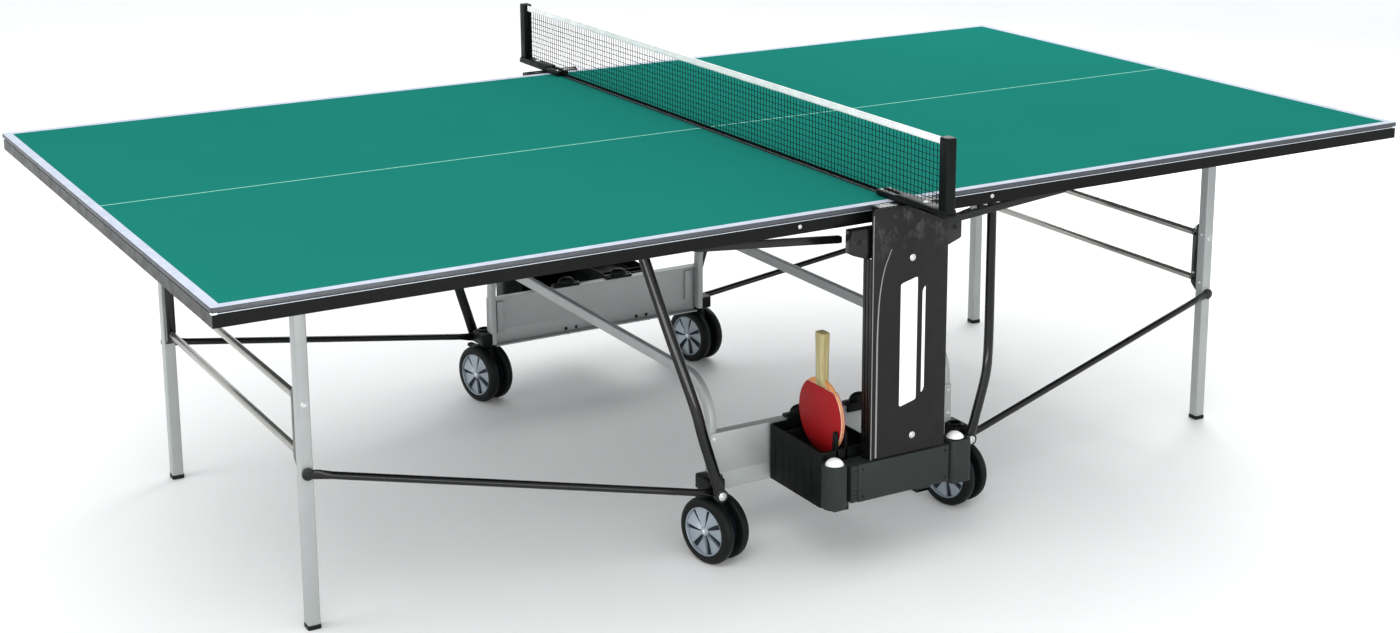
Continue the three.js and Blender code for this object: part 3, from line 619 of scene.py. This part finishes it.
# ---- legs, rails and brackets ----
for end, side, sx, sy in QUARTERS:
    name = f"{end}_{side}"
    x, y, half = LEG_X, LEG_Y, LEG_HALF
    shape = Shape()
    shape.prism(rounded(x - half, x + half, y - half, y + half, 3), 7, 700, "Z", 0, 0.3)
    shape.prism(filleted([(x - half, 690), (x + half, 690), (x + half, 712), (x + 6, 717.4), (x - 6, 717.4),
                          (x - half, 712)], 6), y - half, y + half, "Y", 0, 1.0)
    shape.box(x - half - 0.6, x + half + 0.6, y - half - 0.6, y + half + 0.6, 6.5, 9.5, 1, 0.4, 3)
    shape.box(x - half - 1, x + half + 1, y - half - 1, y + half + 1, 0, 8, 1, 1.2, 3.5)
    for z in (451, 315):
        shape.bolt((x, y + half, z), (0, 1, 0), 4.6, 2)
    shape.bolt((x - half, y, 341), (-1, 0, 0), 3.2, 2)
    shape.bolt((x - half, y, 459), (-1, 0, 0), 3.2, 2)
    shape.done(f"leg_tube_{name}", "legs_" + end, [silver, cap_plastic, zinc],
               [f"leg_{name}"], (sx, sy))

    low, high = span("leg_bracket_right_far")
    shape = Shape()
    y0, y1 = low.y, high.y
    y = (y0 + y1) / 2 - 1
    outline = filleted([(y1, low.z), (y1, high.z), (y1 - 4, high.z), (y0, high.z - 15), (y0, low.z + 15),
                        (y1 - 4, low.z)], 2.5)
    shape.prism(outline, low.x, high.x, "X", 0, 1.6)
    for z in (455, 345):
        shape.bar((low.x, y, z), (low.x + 0.6, y, z), 4, 0, 16, 0.2)
        shape.bolt((low.x + 0.4, y, z + 15), (-1, 0, 0), 3, 1, False)
    shape.done(f"leg_bracket_{name}_steel", "legs_" + end, [steel_black, zinc],
               [f"leg_bracket_{name}"], (sx, sy))

for end, sx in ENDS:
    for level in ("upper", "lower"):
        low, high = span(f"rail_{level}_right")
        z = (low.z + high.z) / 2
        shape = Shape()
        shape.bar((LEG_X, low.y, z), (LEG_X, high.y, z), 8, 0, 32, 0.4)
        for ring_y in (low.y + 3, high.y - 3):
            shape.lathe([(7.9, -2.6), (8.0, -2.9), (8.0, 2.9), (7.9, 2.6), (7.2, 2.4), (7.2, -2.4)],
                        (LEG_X, ring_y, z), "Y", 1, 32)
        shape.done(f"rail_{level}_{end}_tube", "legs_" + end, [chrome, steel_black],
                   [f"rail_{level}_{end}"], (sx, 1))

# ---- rods: round tubes whose ends are pressed flat and rounded about their pivots ----
ROD_RADIUS, FLAT_THICK, FLAT_HIGH = 7.5, 2.4, 9.5
for end, side, sx, sy in QUARTERS:
    shape = Shape()
    foot, head = Vector((LEVER_FOOT.x, 583.5, LEVER_FOOT.z)), Vector((LEG_X, 457.5, ROD_HEAD_Z))
    start, stop = foot + Vector((20, -0.6, 3.6)), head + Vector((-20, 0.9, -3.6))
    inner_a, inner_b = foot + Vector((46, -3.0, 9)), head + Vector((-46, 4.7, -9.2))
    path, sections = [], []
    stations = [(foot, 0.0), (start, 0.0), (start.lerp(inner_a, 0.5), 0.5), (inner_a, 1.0)]
    for i in range(1, 8):
        stations.append((inner_a.lerp(inner_b, i / 8), 1.0))
    stations += [(inner_b, 1.0), (inner_b.lerp(stop, 0.5), 0.5), (stop, 0.0), (head, 0.0)]
    for point, full in stations:
        path.append(point)
        thick = FLAT_THICK + (ROD_RADIUS - FLAT_THICK) * full
        sections.append(oval(thick, FLAT_HIGH + (ROD_RADIUS - FLAT_HIGH) * full, 24))
    shape.sweep(path, sections)
    for point in (foot, head):
        shape.bar(point - Vector((0, 2.5, 0)), point + Vector((0, 2.5, 0)), 12, 0, 32, 0.7)
    shape.done(f"rod_{end}_{side}_tube", "rods_" + end, [steel_black],
               [f"rod_{end}_{side}"], (sx, sy))

# ---- levers ----
foot, knee, head = LEVER_FOOT, LEVER_KNEE, LEVER_HEAD
lever_points = [
    foot,
    ((foot.x * 2 + knee.x) / 3, foot.y, (foot.z * 2 + knee.z) / 3),
    (knee.x - 4, knee.y - 2, knee.z - 16),
    (knee.x + 4, knee.y - 7, knee.z + 24),
    ((knee.x + head.x) / 2 + 2, 539, (knee.z + head.z) / 2),
    (head.x - 3, head.y + 4, head.z - 26),
]
for end, side, sx, sy in QUARTERS:
    shape = Shape()
    path = smooth_path(lever_points, 54)
    sections = []
    for i in range(len(path)):
        ends = min(i, len(path) - 1 - i)
        flat = min(1.0, ends / 4)
        sections.append(oval(5.6 + 1.7 * flat, 12.8 - 0.9 * flat, 32))
    shape.sweep(path, sections)
    reach = Vector((0, 7.6, 0))
    shape.bar(foot - reach, foot + reach, 14, 0, 36, 1.2)
    tip = filleted([(454.5, 738), (452, 746), (445, 747.5), (438, 746), (435.5, 738), (432, 698),
                    (450, 698)], 6)
    shape.prism(tip, head.y - 6.7, head.y + 6.7, "Y", 0, 1.2)
    shape.bar(head - reach, head + reach, 9.4, 0, 28, 0.8)
    shape.done(f"lever_{end}_{side}_tube", "levers_" + end, [steel_black],
               [f"lever_{end}_{side}"], (sx, sy))

# ---- arches ----
ARCH_X, ARCH_Y, ARCH_WIDTH, ARCH_DEPTH, ARCH_CORNER, ARCH_FOOT = 292, 530.7, 15, 24, 100, 150
for end, sx in ENDS:
    top = span("arch_right")[1].z
    middle = top - ARCH_DEPTH / 2
    bend = ARCH_CORNER - ARCH_DEPTH / 2
    shoulder = top - ARCH_CORNER
    corner_y = ARCH_Y - bend
    shape = Shape()
    path = [Vector((ARCH_X, -ARCH_Y, ARCH_FOOT + (shoulder - ARCH_FOOT) * i / 4)) for i in range(4)]
    for i in range(19):
        t = math.radians(180 - 5 * i)
        path.append(Vector((ARCH_X, bend * math.cos(t) - corner_y, shoulder + bend * math.sin(t))))
    path += [Vector((ARCH_X, y, middle)) for y in (-300, 0, 300)]
    for i in range(19):
        t = math.radians(90 - 5 * i)
        path.append(Vector((ARCH_X, corner_y + bend * math.cos(t), shoulder + bend * math.sin(t))))
    path += [Vector((ARCH_X, ARCH_Y, shoulder - (shoulder - ARCH_FOOT) * i / 4)) for i in range(1, 5)]
    section = rounded(-ARCH_WIDTH / 2, ARCH_WIDTH / 2, -ARCH_DEPTH / 2, ARCH_DEPTH / 2, 3.5)
    shape.sweep(path, section, 0, Vector((1, 0, 0)))
    for sy in (-1, 1):
        inner, outer = sorted((sy * (ARCH_Y - ARCH_DEPTH / 2 + 0.2), sy * (BLOCK_OUTER - 0.2)))
        shape.box(285.2, 323.8, inner, outer, 148.2, BLOCK_TOP, 1, 2.5, 6)
        collar = [(12, 0), (15.5, 0.3), (16.3, 2), (15.5, 4), (12, 4.4)]
        shape.lathe(collar, (WHEEL.x, sy * WHEEL.y, BLOCK_TOP), "Z", 1, 40)
        x, z = LEVER_FOOT.x, LEVER_FOOT.z
        shape.bar((x, sy * 574, z), (x, sy * 609.4, z), 5, 2, 20, 0.4)
        shape.bolt((x, sy * 608.4, z), (0, sy, 0), 6.5, 2)
        shape.bolt((ARCH_X, sy * (ARCH_Y + ARCH_DEPTH / 2), 200), (0, sy, 0), 3.6, 2)
    shape.done(f"arch_{end}_tube", "carriage", [silver, plastic, zinc], ["arch_" + end],
               (sx, 1))

# ---- casters ----
TYRE = [(51, 33.2), (54, 34.0), (59, 34.0), (63.5, 32.8), (67.2, 30.2), (69.4, 26.8), (70, 23.5), (70, 17),
        (69.2, 14.2), (67, 12.2), (62, 11.0), (52, 10.8), (50, 11.5), (50, 31.5)]
HUB = [(5.4, 9.2), (13, 9.2), (16, 11.5), (50.5, 11.5), (50.5, 25.5), (12, 25.5), (5.4, 25.5)]
RIM = [(48.6, 24), (50.2, 24), (51.2, 30.5), (51.4, 33), (50.6, 33.4), (49.2, 32.2)]
BOSS = [(0.3, 26), (9.4, 26), (9.6, 30), (8.4, 31.4), (5.5, 32.0), (0.3, 31.7)]
AXLE = [(0.2, 30), (4.6, 30), (4.4, 32.8), (2.6, 33.6), (0.2, 33.8)]
BLADES, BLADE_IN, BLADE_OUT = 7, 8.5, 49.4


def one_wheel(shape, flip):
    """One of a caster's two wheels. Its profiles are (radius, distance from the middle of the pair)."""
    def turned(profile, mat, sides):
        shape.lathe([(r, o * flip) for r, o in profile], WHEEL, "Y", mat, sides)

    turned(TYRE, 0, 72)
    # The hub face between the blades carries the painted shade of the slots.
    turned(HUB, 2, 48)
    turned(RIM, 1, 72)
    for i in range(BLADES):
        first = 2 * math.pi * (i + 0.09) / BLADES + 0.02
        rings = []
        for k in range(9):
            t = k / 8
            r = BLADE_IN + (BLADE_OUT - BLADE_IN) * t
            wide = 2 * math.pi / BLADES * (0.60 + 0.16 * t)
            section = ((0, 25.3), (0, 31.2 - 1.0 * t), (0.5, 29.6 - 1.2 * t), (1, 27.4 - 1.4 * t), (1, 25.3))
            ring = []
            for share, o in section:
                a = first + wide * share
                ring.append((WHEEL.x + r * math.cos(a), WHEEL.y + flip * o, WHEEL.z + r * math.sin(a)))
            rings.append(ring)
        shape.loft(rings, 1)
    turned(BOSS, 1, 36)
    turned(AXLE, 3, 24)


for end, side, sx, sy in QUARTERS:
    name = f"{end}_{side}"
    shape = Shape()
    for flip in (1, -1):
        one_wheel(shape, flip)
    for t in angles(36):
        tread = WHEEL + Vector((math.cos(t), 0, math.sin(t))) * 69.3
        for flip in (1, -1):
            shape.bar(tread + Vector((0, flip * 18, 0)), tread + Vector((0, flip * 23, 0)), 0.55, 0, 6, 0.1)
    shape.turn(sx * sy * CASTER_TURN + sy * 90, WHEEL)
    shape.done(f"wheel_{name}_twin", f"wheel_{name}", [rubber, disc_silver, recess_shade_dark, zinc],
               [f"wheel_{name}"], (sx, sy), 28)

    shape = Shape()
    x = WHEEL.x
    hood = filleted([(x - 13, 30), (x + 13, 30), (x + 40, 62), (x + 40, 96), (x + 22, 138), (x + 14, 141.3),
                     (x - 14, 141.3), (x - 22, 138), (x - 40, 96), (x - 40, 62)], 10)
    shape.prism(hood, WHEEL.y - 8.5, WHEEL.y + 8.5, "Y", 0, 1.6)
    shape.lathe([(1, 140.5), (16.6, 140.5), (17, 141.5), (17, 146.6), (16, 147.6), (1, 147.6)],
                (x, WHEEL.y, 0), "Z", 0, 40)
    shape.bar((x, WHEEL.y, 141), (x, WHEEL.y, 174), 6, 1, 20, 0.8)
    shape.box(x + 10, x + 62, WHEEL.y - 8, WHEEL.y + 8, 124, 132, 0, 2.0, 5)
    for k in range(4):
        shape.box(x + 46 + 4 * k, x + 47.6 + 4 * k, WHEEL.y - 6, WHEEL.y + 6, 131.5, 132.6, 0, 0.3)
    shape.turn(sx * sy * CASTER_TURN + sy * 90, WHEEL)
    shape.done(f"fork_{name}_hood", f"fork_{name}", [plastic, zinc], [f"fork_{name}"],
               (sx, sy))

# ---- side panels and their rests ----
low, high = span("panel_far")
PANEL_BEND = high.y
PANEL_TOP_Z = high.z
STEP_Z = BLOCK_TOP + 0.3  # above it the sheet is wider, over the caster blocks
for side, sy in SIDES:
    shape = Shape()
    neck = high.x - 14.8
    sheet = [(-neck, low.z), (neck, low.z), (neck, STEP_Z), (high.x, STEP_Z), (high.x, high.z),
             (low.x, high.z), (low.x, STEP_Z), (-neck, STEP_Z)]
    shape.prism(filleted(sheet, 1.5, 3), PANEL_BEND - 3, PANEL_BEND, "Y", 0, 0.7)
    for z in (low.z, high.z - 3):
        shape.box(1 - neck, neck - 1, low.y, PANEL_BEND - 1, z, z + 3, 0, 0.6, 1)
    for x in (-85 * sy, -56 * sy, 115 * sy, 144 * sy):
        shape.bolt((x, low.y + 8, low.z), (0, 0, -1), 4.0, 1)
        shape.bolt((x, PANEL_BEND - 3, low.z + 9), (0, -1, 0), 3.4, 1)
        shape.bolt((x, PANEL_BEND, low.z + 9), (0, 1, 0), 3.4, 1)
    for x in (low.x + 7.5, high.x - 7.5):
        for z in (200, high.z - 12):
            shape.bolt((x, PANEL_BEND, z), (0, 1, 0), 3.4, 2)
    for x in (low.x + 34, high.x - 34):
        shape.box(x - 9, x + 9, PANEL_BEND - 9, PANEL_BEND - 2.9, low.z + 30, high.z - 14, 0, 1.2, 1.2)
    shape.done(f"panel_{side}_sheet", "carriage", [silver, steel_black, zinc],
               ["panel_" + side], (1, sy))

for side, sy in SIDES:
    for label in ("left", "right"):
        node = f"rest_{label}_{side}"
        low, high = span(node)
        middle = (low.x + high.x) / 2
        top = high.z - 16.5
        shape = Shape()
        shape.box(low.x, high.x, low.y, high.y, PANEL_TOP_Z + 0.4, top, 0, 1.6, 7)
        skirt = sorted((sy * (PANEL_BEND + 0.4), sy * (PANEL_BEND + 6)))
        shape.box(low.x + 1, high.x - 1, *skirt, low.z, top - 1, 0, 1.5, 2)
        rings = []
        for k in range(13):
            t = math.radians(90 * k / 12)
            r = max(0.02, math.cos(t)) ** 0.75
            z = min(top - 1 + 17.5 * math.sin(t), high.z)
            rings.append([(middle + 23 * r * math.cos(a), sy * (PANEL_BEND - 7) + 12 * r * math.sin(a), z)
                          for a in angles(36)])
        shape.loft(rings, 0)
        for dx in (-29, 29):
            shape.bolt((middle + dx, sy * (PANEL_BEND - 8), top - 0.3), (0, 0, 1), 3.2, 1, False)
        shape.done(node + "_pad", "carriage", [plastic, steel_black], [node])

# ---- columns ----
for side, sy in SIDES:
    mirror = (-sy, -sy)
    low, high = span("column_near")
    shape = Shape()
    x0 = -70
    flutes = [(x0, -794), (x0, -790), (x0 + 2, -789), (x0 + 2, -786), (x0, -785), (x0, -779), (x0 + 2, -778),
              (x0 + 2, -775), (x0, -774), (x0, -770), (x0 + 2, -768)]
    outline = flutes + [(-x, y) for x, y in reversed(flutes)] + [(68, -796), (-68, -796)]
    shape.prism(outline, low.z, high.z, "Z", 0, 0.4)
    wing = filleted([(-130, 674), (-96, 662), (96, 662), (130, 674), (130, 722), (-130, 722)], 4)
    shape.prism(wing, -792, -768, "Y", 0, 1.4)
    for x in (-114, 114):
        shape.bolt((x, -792, 698), (0, -1, 0), 4.5, 1)
    shape.done(f"column_{side}_extrusion", "carriage", [steel_black, steel_black],
               ["column_" + side], mirror)

    # The cover: a flat face, ribbed sides, two raised lines painted light grey as a painted highlight along
    # their ridges, two bolts and two printed stripes.
    low, high = span("cover_near")
    shape = Shape()
    half, front = 90, -803
    face = filleted([(-half, low.z), (half, low.z), (half, 716), (0, high.z), (-84, high.z),
                     (-half, high.z - 7)], 3)
    shape.prism(face, front, -800, "Y", 0, 0.9)
    for s in (-1, 1):
        for ya, yb, depth in ((-801.5, -794, 0.0), (-794, -791, 1.6), (-791, -783, 0.0), (-783, -780, 1.6),
                              (-780, -772, 0.0)):
            a, b = sorted((s * (half - depth), s * (half - 3)))
            shape.box(a, b, ya, yb, low.z, 661.5, 1, 0.3)
    # The raised edge line and the curved line take the light grey: a painted highlight, not the moulding's
    # colour.
    edge_line = [Vector((-87.5, front, low.z + 1)), Vector((-87.5, front, high.z - 12))]
    shape.sweep(edge_line, rounded(-0.9, 0.9, -0.5, 0.5, 0.3, 2), 2, Vector((1, 0, 0)))
    bends = ((-76, low.z + 3), (-76, 420), (-75.5, 520), (-71, 590), (-61, 640), (-45, 678))
    curve = smooth_path([(x, front, z) for x, z in bends], 60)
    sections = []
    for i in range(len(curve)):
        w = 1.9 - 1.1 * max(0.0, (i - 30) / 30)
        sections.append(rounded(-w, w, -0.55, 0.55, 0.4, 2))
    shape.sweep(curve, sections, 2, Vector((1, 0, 0)))
    for x, z in ((5, 654), (11, 288)):
        shape.bolt((x, -802.9, z), (0, -1, 0), 5.2, 3)
    for xa, xb, za, zb in ((-22, 18, 352, 604), (30, 37, 372, 584)):
        stripe = filleted([(xa, za), (xb, za + 10), (xb, zb + 10), (xa, zb)], 5)
        shape.prism(stripe, -803.3, -802.8, "Y", 4, 0.1)
    shape.done(f"cover_{side}_moulding", "carriage",
               [cover_black, steel_black, ridge_highlight_grey, zinc, print_white],
               ["cover_" + side], mirror)

# ---- bases ----
POSTS, POST_Y = (-161, 130), -786


def level_ring(x, y, radius, z):
    return [(x + radius * math.cos(t), y + radius * math.sin(t), z) for t in angles(48)]


for side, sy in SIDES:
    mirror = (-sy, -sy)
    low, high = span("base_near")
    shape = Shape()
    top, bottom, front, back = 250, 172, -806, -762
    shape.box(-118, 103, front + 0.6, back, bottom, top, 0, 1.6, 3)
    shape.box(-134, -118.5, front + 1.6, back, bottom + 1, top - 1, 0, 1.0, 1.5)
    for k in range(9):
        z = bottom + 5 + k * 8.2
        shape.box(-133.5, -119, front + 0.2, front + 3, z, z + 3.6, 0, 0.5, 0.5)
    shape.box(105, high.x, low.y, -761.5, 165, 256, 0, 2.2, 9)
    for x in POSTS:
        if x < 0:
            profile = [(23, 165), (24.6, 166), (25, 168), (25, 253), (24.4, 255.2), (23, 256), (21.6, 255.6),
                       (21, 254)]
        else:
            profile = [(24, 255.4), (23.4, 256.0), (21.4, 256.0), (21, 255.2)]
        profile += [(21, 246), (17, 238), (4, 236)]
        shape.loft([level_ring(x, POST_Y, r, z) for r, z in profile], 0)
    shape.box(-168, 146, -774, back, 180, 246, 0, 1.0)
    for x in (-130, 70):
        shape.box(x - 18, x + 18, -766, -546.3, 143, 149.5, 0, 1.0, 3)
        shape.box(x - 18, x + 18, -766, -758, 143, 176, 0, 1.0, 2)
        shape.box(x - 2, x + 2, -760, -556, 149, 155, 0, 0.8, 0.8)
    for x, z in ((-106, top - 10), (-106, bottom + 10), (92, top - 10), (92, bottom + 10)):
        shape.bolt((x, front + 0.6, z), (0, -1, 0), 2.4, 1, False)
    for x in (-104, 96):
        shape.bolt((x, -785, top - 0.2), (0, 0, 1), 3.0, 1, False)
    shape.done(f"base_{side}_moulding", "carriage", [base_plastic, steel_black], ["base_" + side],
               mirror)

# ---- bat boxes ----
BAT_X, BAT_Y = -120, -677
for side, sy in SIDES:
    mirror = (-sy, -sy)
    x0, x1, y0, y1, z0, z1 = -168, -36, -750, -553, 150, 266
    shape = Shape()
    outer = rounded(x0, x1, y0, y1, 9, 5)
    inner = shrunk(outer, 4)
    floor_z, ceiling_z = 239, 235  # the floor's upper and lower face
    rim = [(0.0, z0), (0.0, z1 - 2), (0.6, z1 - 0.6), (1.6, z1)]
    rings = [[(x, y, z) for x, y in shrunk(outer, inset)] for inset, z in rim]
    rings += [[(x, y, z) for x, y in inner] for z in (z1, floor_z + 2)]
    rings += [[(x, y, floor_z) for x, y in shrunk(inner, 2)]]
    shape.loft(rings, 0, caps=False)
    shape.bm.faces.new([shape.bm.verts.new(p) for p in rings[-1]])
    under = [[(x, y, z) for x, y in shrunk(outer, inset)]
             for inset, z in ((0.0, z0), (3.2, z0), (3.6, ceiling_z))]
    shape.loft(under, 0, caps=False)
    shape.bm.faces.new([shape.bm.verts.new(p) for p in under[-1]])
    bmesh.ops.remove_doubles(shape.bm, verts=shape.bm.verts, dist=0.01)
    for s in (-1, 1):
        a, b = sorted((BAT_X + s * 7.5, BAT_X + s * 14.5))
        prong = filleted([(-750, 236), (-736, 236), (-736, 262), (-739, 302), (-747, 302), (-750, 290)], 4)
        shape.prism(prong, a, b, "X", 0, 1.2)
    for k in range(6):
        y = -716 + 27 * k
        shape.box(x0, x0 + 0.9, y, y + 2.2, z0 + 8, z1 - 16, 0, 0.4, 0.4)
    shape.box(x0 + 4, x1 - 4, -601, -598, floor_z, 262, 0, 0.8, 0.8)
    shape.box(-119, -115.5, -596, -557, floor_z, 258, 0, 0.8, 0.8)
    shape.done(f"bat_box_{side}_tray", "carriage", [plastic], ["bat_box_" + side], mirror)

# ---- bat ----
BAT_RADIUS, BAT_Z = 76, 316
shape = Shape()


def blade(cut, grow=0.0):
    """A disc's outline in Y and Z, cut straight at a distance below its top, near the handle."""
    reach, cut_z = BAT_RADIUS + grow, BAT_Z + BAT_RADIUS - cut
    return [(BAT_Y + reach * math.cos(t), min(BAT_Z + reach * math.sin(t), cut_z)) for t in angles(64)]


shape.prism(blade(0), BAT_X - 2.9, BAT_X + 2.9, "X", 1, 0.8)
for s in (-1, 1):
    a, b = sorted((BAT_X + s * 3.4, BAT_X + s * 5.5))
    shape.prism(blade(17, -0.4), a, b, "X", 0, 0.4)
    a, b = sorted((BAT_X + s * 2.9, BAT_X + s * 3.4))
    shape.prism(blade(16.6, -0.2), a, b, "X", 3, 0.05)
rings = []
for z, wide, thick in ((370, 23, 3.4), (377, 19.5, 4.2), (385, 15.5, 7.6), (393, 13.6, 9.6),
                       (402, 12.8, 10.4), (430, 12.8, 10.6), (462, 14.0, 10.9), (482, 15.0, 11.1),
                       (486.5, 14.9, 11.0), (488, 13.6, 9.8)):
    ring = []
    for t in angles(40):
        c, s = math.cos(t), math.sin(t)
        ring.append((BAT_X + thick * math.copysign(abs(s) ** 0.55, s),
                     BAT_Y + wide * math.copysign(abs(c) ** 0.55, c), z))
    rings.append(ring)
shape.loft(rings, 2)
shape.done("bat_blade_and_handle", "bat", [red_rubber, blade_wood, handle_wood, white_plastic],
           ["bat"])

# ---- balls ----
BALL_RADIUS, POLE = 20, 0.15
for label in ("left", "right"):
    low, high = span("ball_" + label)
    centre = (low + high) / 2
    shape = Shape()
    profile = [(POLE, -BALL_RADIUS)]
    for i in range(1, 32):
        t = math.radians(-90 + 180 * i / 32)
        seam = 0.12 if i == 16 else 0
        profile.append((BALL_RADIUS * math.cos(t) - seam, BALL_RADIUS * math.sin(t)))
    profile.append((POLE, BALL_RADIUS))
    shape.lathe(profile, centre, "Z", 0, 64)
    shape.done(f"ball_{label}_shell", "ball_" + label, [ball_white], ["ball_" + label])

# ---- net, tape and posts ----
net_low, net_high = span("net")
step_y, foot_z = 764, 777  # beyond step_y the net ends at foot_z, above the brackets of the posts
pitch, thread = 12.0, 0.5  # the distance between threads, and half a thread's width
random.seed(7)
shape = Shape()


def thread_run(points):
    """A thread of square section through points."""
    path = [Vector(p) for p in points]
    shape.sweep(path, [(-thread, -thread), (thread, -thread), (thread, thread), (-thread, thread)],
                0, Vector((1, 0, 0)))


columns = int((net_high.y - net_low.y - 6) / pitch)
rows = int((net_high.z - net_low.z) / pitch)
first_y = net_low.y + (net_high.y - net_low.y - columns * pitch) / 2
ys = [first_y + pitch * i for i in range(columns + 1)]
zs = [net_high.z - 2 - pitch * k for k in range(rows + 1)]
slack = {(i, k): (random.uniform(-0.5, 0.5), random.uniform(-0.5, 0.5))
         for i in range(columns + 1) for k in range(rows + 1)}
for i, y in enumerate(ys):
    points = []
    for k, z in enumerate(zs):
        if abs(y) > step_y and z < foot_z + 3:
            break
        dy, dz = slack[i, k]
        points.append((0.35 * (-1) ** (i + k), y + dy, z + dz))
    bottom = foot_z if abs(y) > step_y else net_low.z + 1
    points.append((0, y, bottom))
    points[0] = (0, y, net_high.z + 2)
    thread_run(points)
for k, z in enumerate(zs):
    if k == 0:
        continue
    inside = [i for i, y in enumerate(ys) if z > foot_z + 3 or abs(y) <= step_y]
    thread_run([(-0.35 * (-1) ** (i + k), ys[i] + slack[i, k][0], z + slack[i, k][1]) for i in inside])
net = shape.done("net_mesh", "carriage", [cloth_black], ["net"], angle=60)

shape = Shape()
shape.box(-1.1, 1.1, -step_y, step_y, net_low.z, net_low.z + 6, 0, 0.5, 0.8)
for s in (-1, 1):
    y_a, y_b = sorted((s * (net_high.y - 7), s * net_high.y))
    shape.box(-1.4, 1.4, y_a, y_b, foot_z, net_high.z, 0, 0.6, 1.0)
hem = shape.done("net_hems", "carriage", [cloth_black])

tape_low, tape_high = span("net_tape")
shape = Shape()
rings = []
for i in range(121):
    y = tape_low.y + (tape_high.y - tape_low.y) * i / 120
    wave = 0.25 * math.sin(i * 0.9) + 0.2 * math.sin(i * 0.37)
    section = rounded(-1.9, 1.9, tape_low.z + 0.4 + wave * 0.5, tape_high.z - 0.1, 1.6, 4)
    rings.append([(x * (1 + 0.05 * wave), y, z) for x, z in section])
shape.loft(rings, 0)
tape = shape.done("net_tape_cloth", "carriage", [tape_white], ["net_tape"], angle=60)

for side, sy in SIDES:
    mirror = (-sy, -sy)
    top = span("net_post_near")[1].z
    shape = Shape()
    shape.box(-11, 11, -928, -902, 766, top - 3, 0, 1.2, 2.5)
    shape.box(-11, 11, -928, -902, top - 6, top, 0, 1.8, 3.5)
    shape.box(-4, 4, -903, -901.4, 790, 905, 0, 0.4, 1)
    shape.box(-16, 16, -928, -766, 761.7, 770, 0, 1.4, 3)
    shape.box(-15, 15, -927, -772, 768, 776, 0, 2.4, 4)
    for s in (-1, 1):
        a, b = sorted((s * 3.2, s * 16))
        shape.box(a, b, -768, -704, 761.7, 773, 0, 1.4, 3)
        shape.bolt((s * 9.5, -716, 773), (0, 0, 1), 2.4, 1, False)
    shape.box(-16.0, -14.5, -900, -850, 764.2, 767.6, 2, 0.4, 0.4)
    shape.bolt((0, -850, 776), (0, 0, 1), 5, 1)
    shape.done(f"net_post_{side}_frame", "carriage", [plastic, zinc, white_plastic],
               ["net_post_" + side], mirror)

# ---- studio ----
floor_look = surface("floor", linear(250, 250, 249), 0.6, spread=0.04, vary=0.01, blotch=1.5, grain=60,
                     bump=0.0001)
floor_mesh = bpy.data.meshes.new("floor")
size = 30
corners = [(-size, -size, 0), (size, -size, 0), (size, size, 0), (-size, size, 0)]
floor_mesh.from_pydata(corners, [], [(0, 1, 2, 3)])
floor_mesh.materials.append(floor_look)
floor = bpy.data.objects.new("floor", floor_mesh)
bpy.context.scene.collection.objects.link(floor)
floor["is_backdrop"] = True

world = bpy.data.worlds.new("studio")
world.use_nodes = True
world.node_tree.nodes["Background"].inputs["Color"].default_value = (0.96, 0.98, 1.0, 1)
world.node_tree.nodes["Background"].inputs["Strength"].default_value = 1.02
bpy.context.scene.world = world


def softbox(name, place, target, width, height, power):
    """A rectangular area light at place, facing target, in metres and watts."""
    data = bpy.data.lights.new(name, "AREA")
    data.shape = "RECTANGLE"
    data.size, data.size_y = width, height
    data.energy = power
    lamp = bpy.data.objects.new(name, data)
    lamp.location = place
    lamp.rotation_mode = "QUATERNION"
    lamp.rotation_quaternion = (Vector(target) - Vector(place)).to_track_quat("-Z", "Y")
    bpy.context.scene.collection.objects.link(lamp)


softbox("key", (-2.6, -3.4, 4.2), (0, 0, 0.5), 2.4, 2.4, 60)
softbox("fill", (-4.5, 0.5, 1.6), (0, 0, 0.4), 2.5, 2.0, 45)
softbox("front", (-0.6, -5.2, 0.9), (0, 0, 0.3), 4.0, 0.7, 70)
softbox("rim", (3.4, 2.6, 3.2), (0, 0, 0.6), 3.0, 2.0, 90)
bpy.context.scene.view_settings.view_transform = "Standard"

bpy.context.view_layer.update()
low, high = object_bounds()
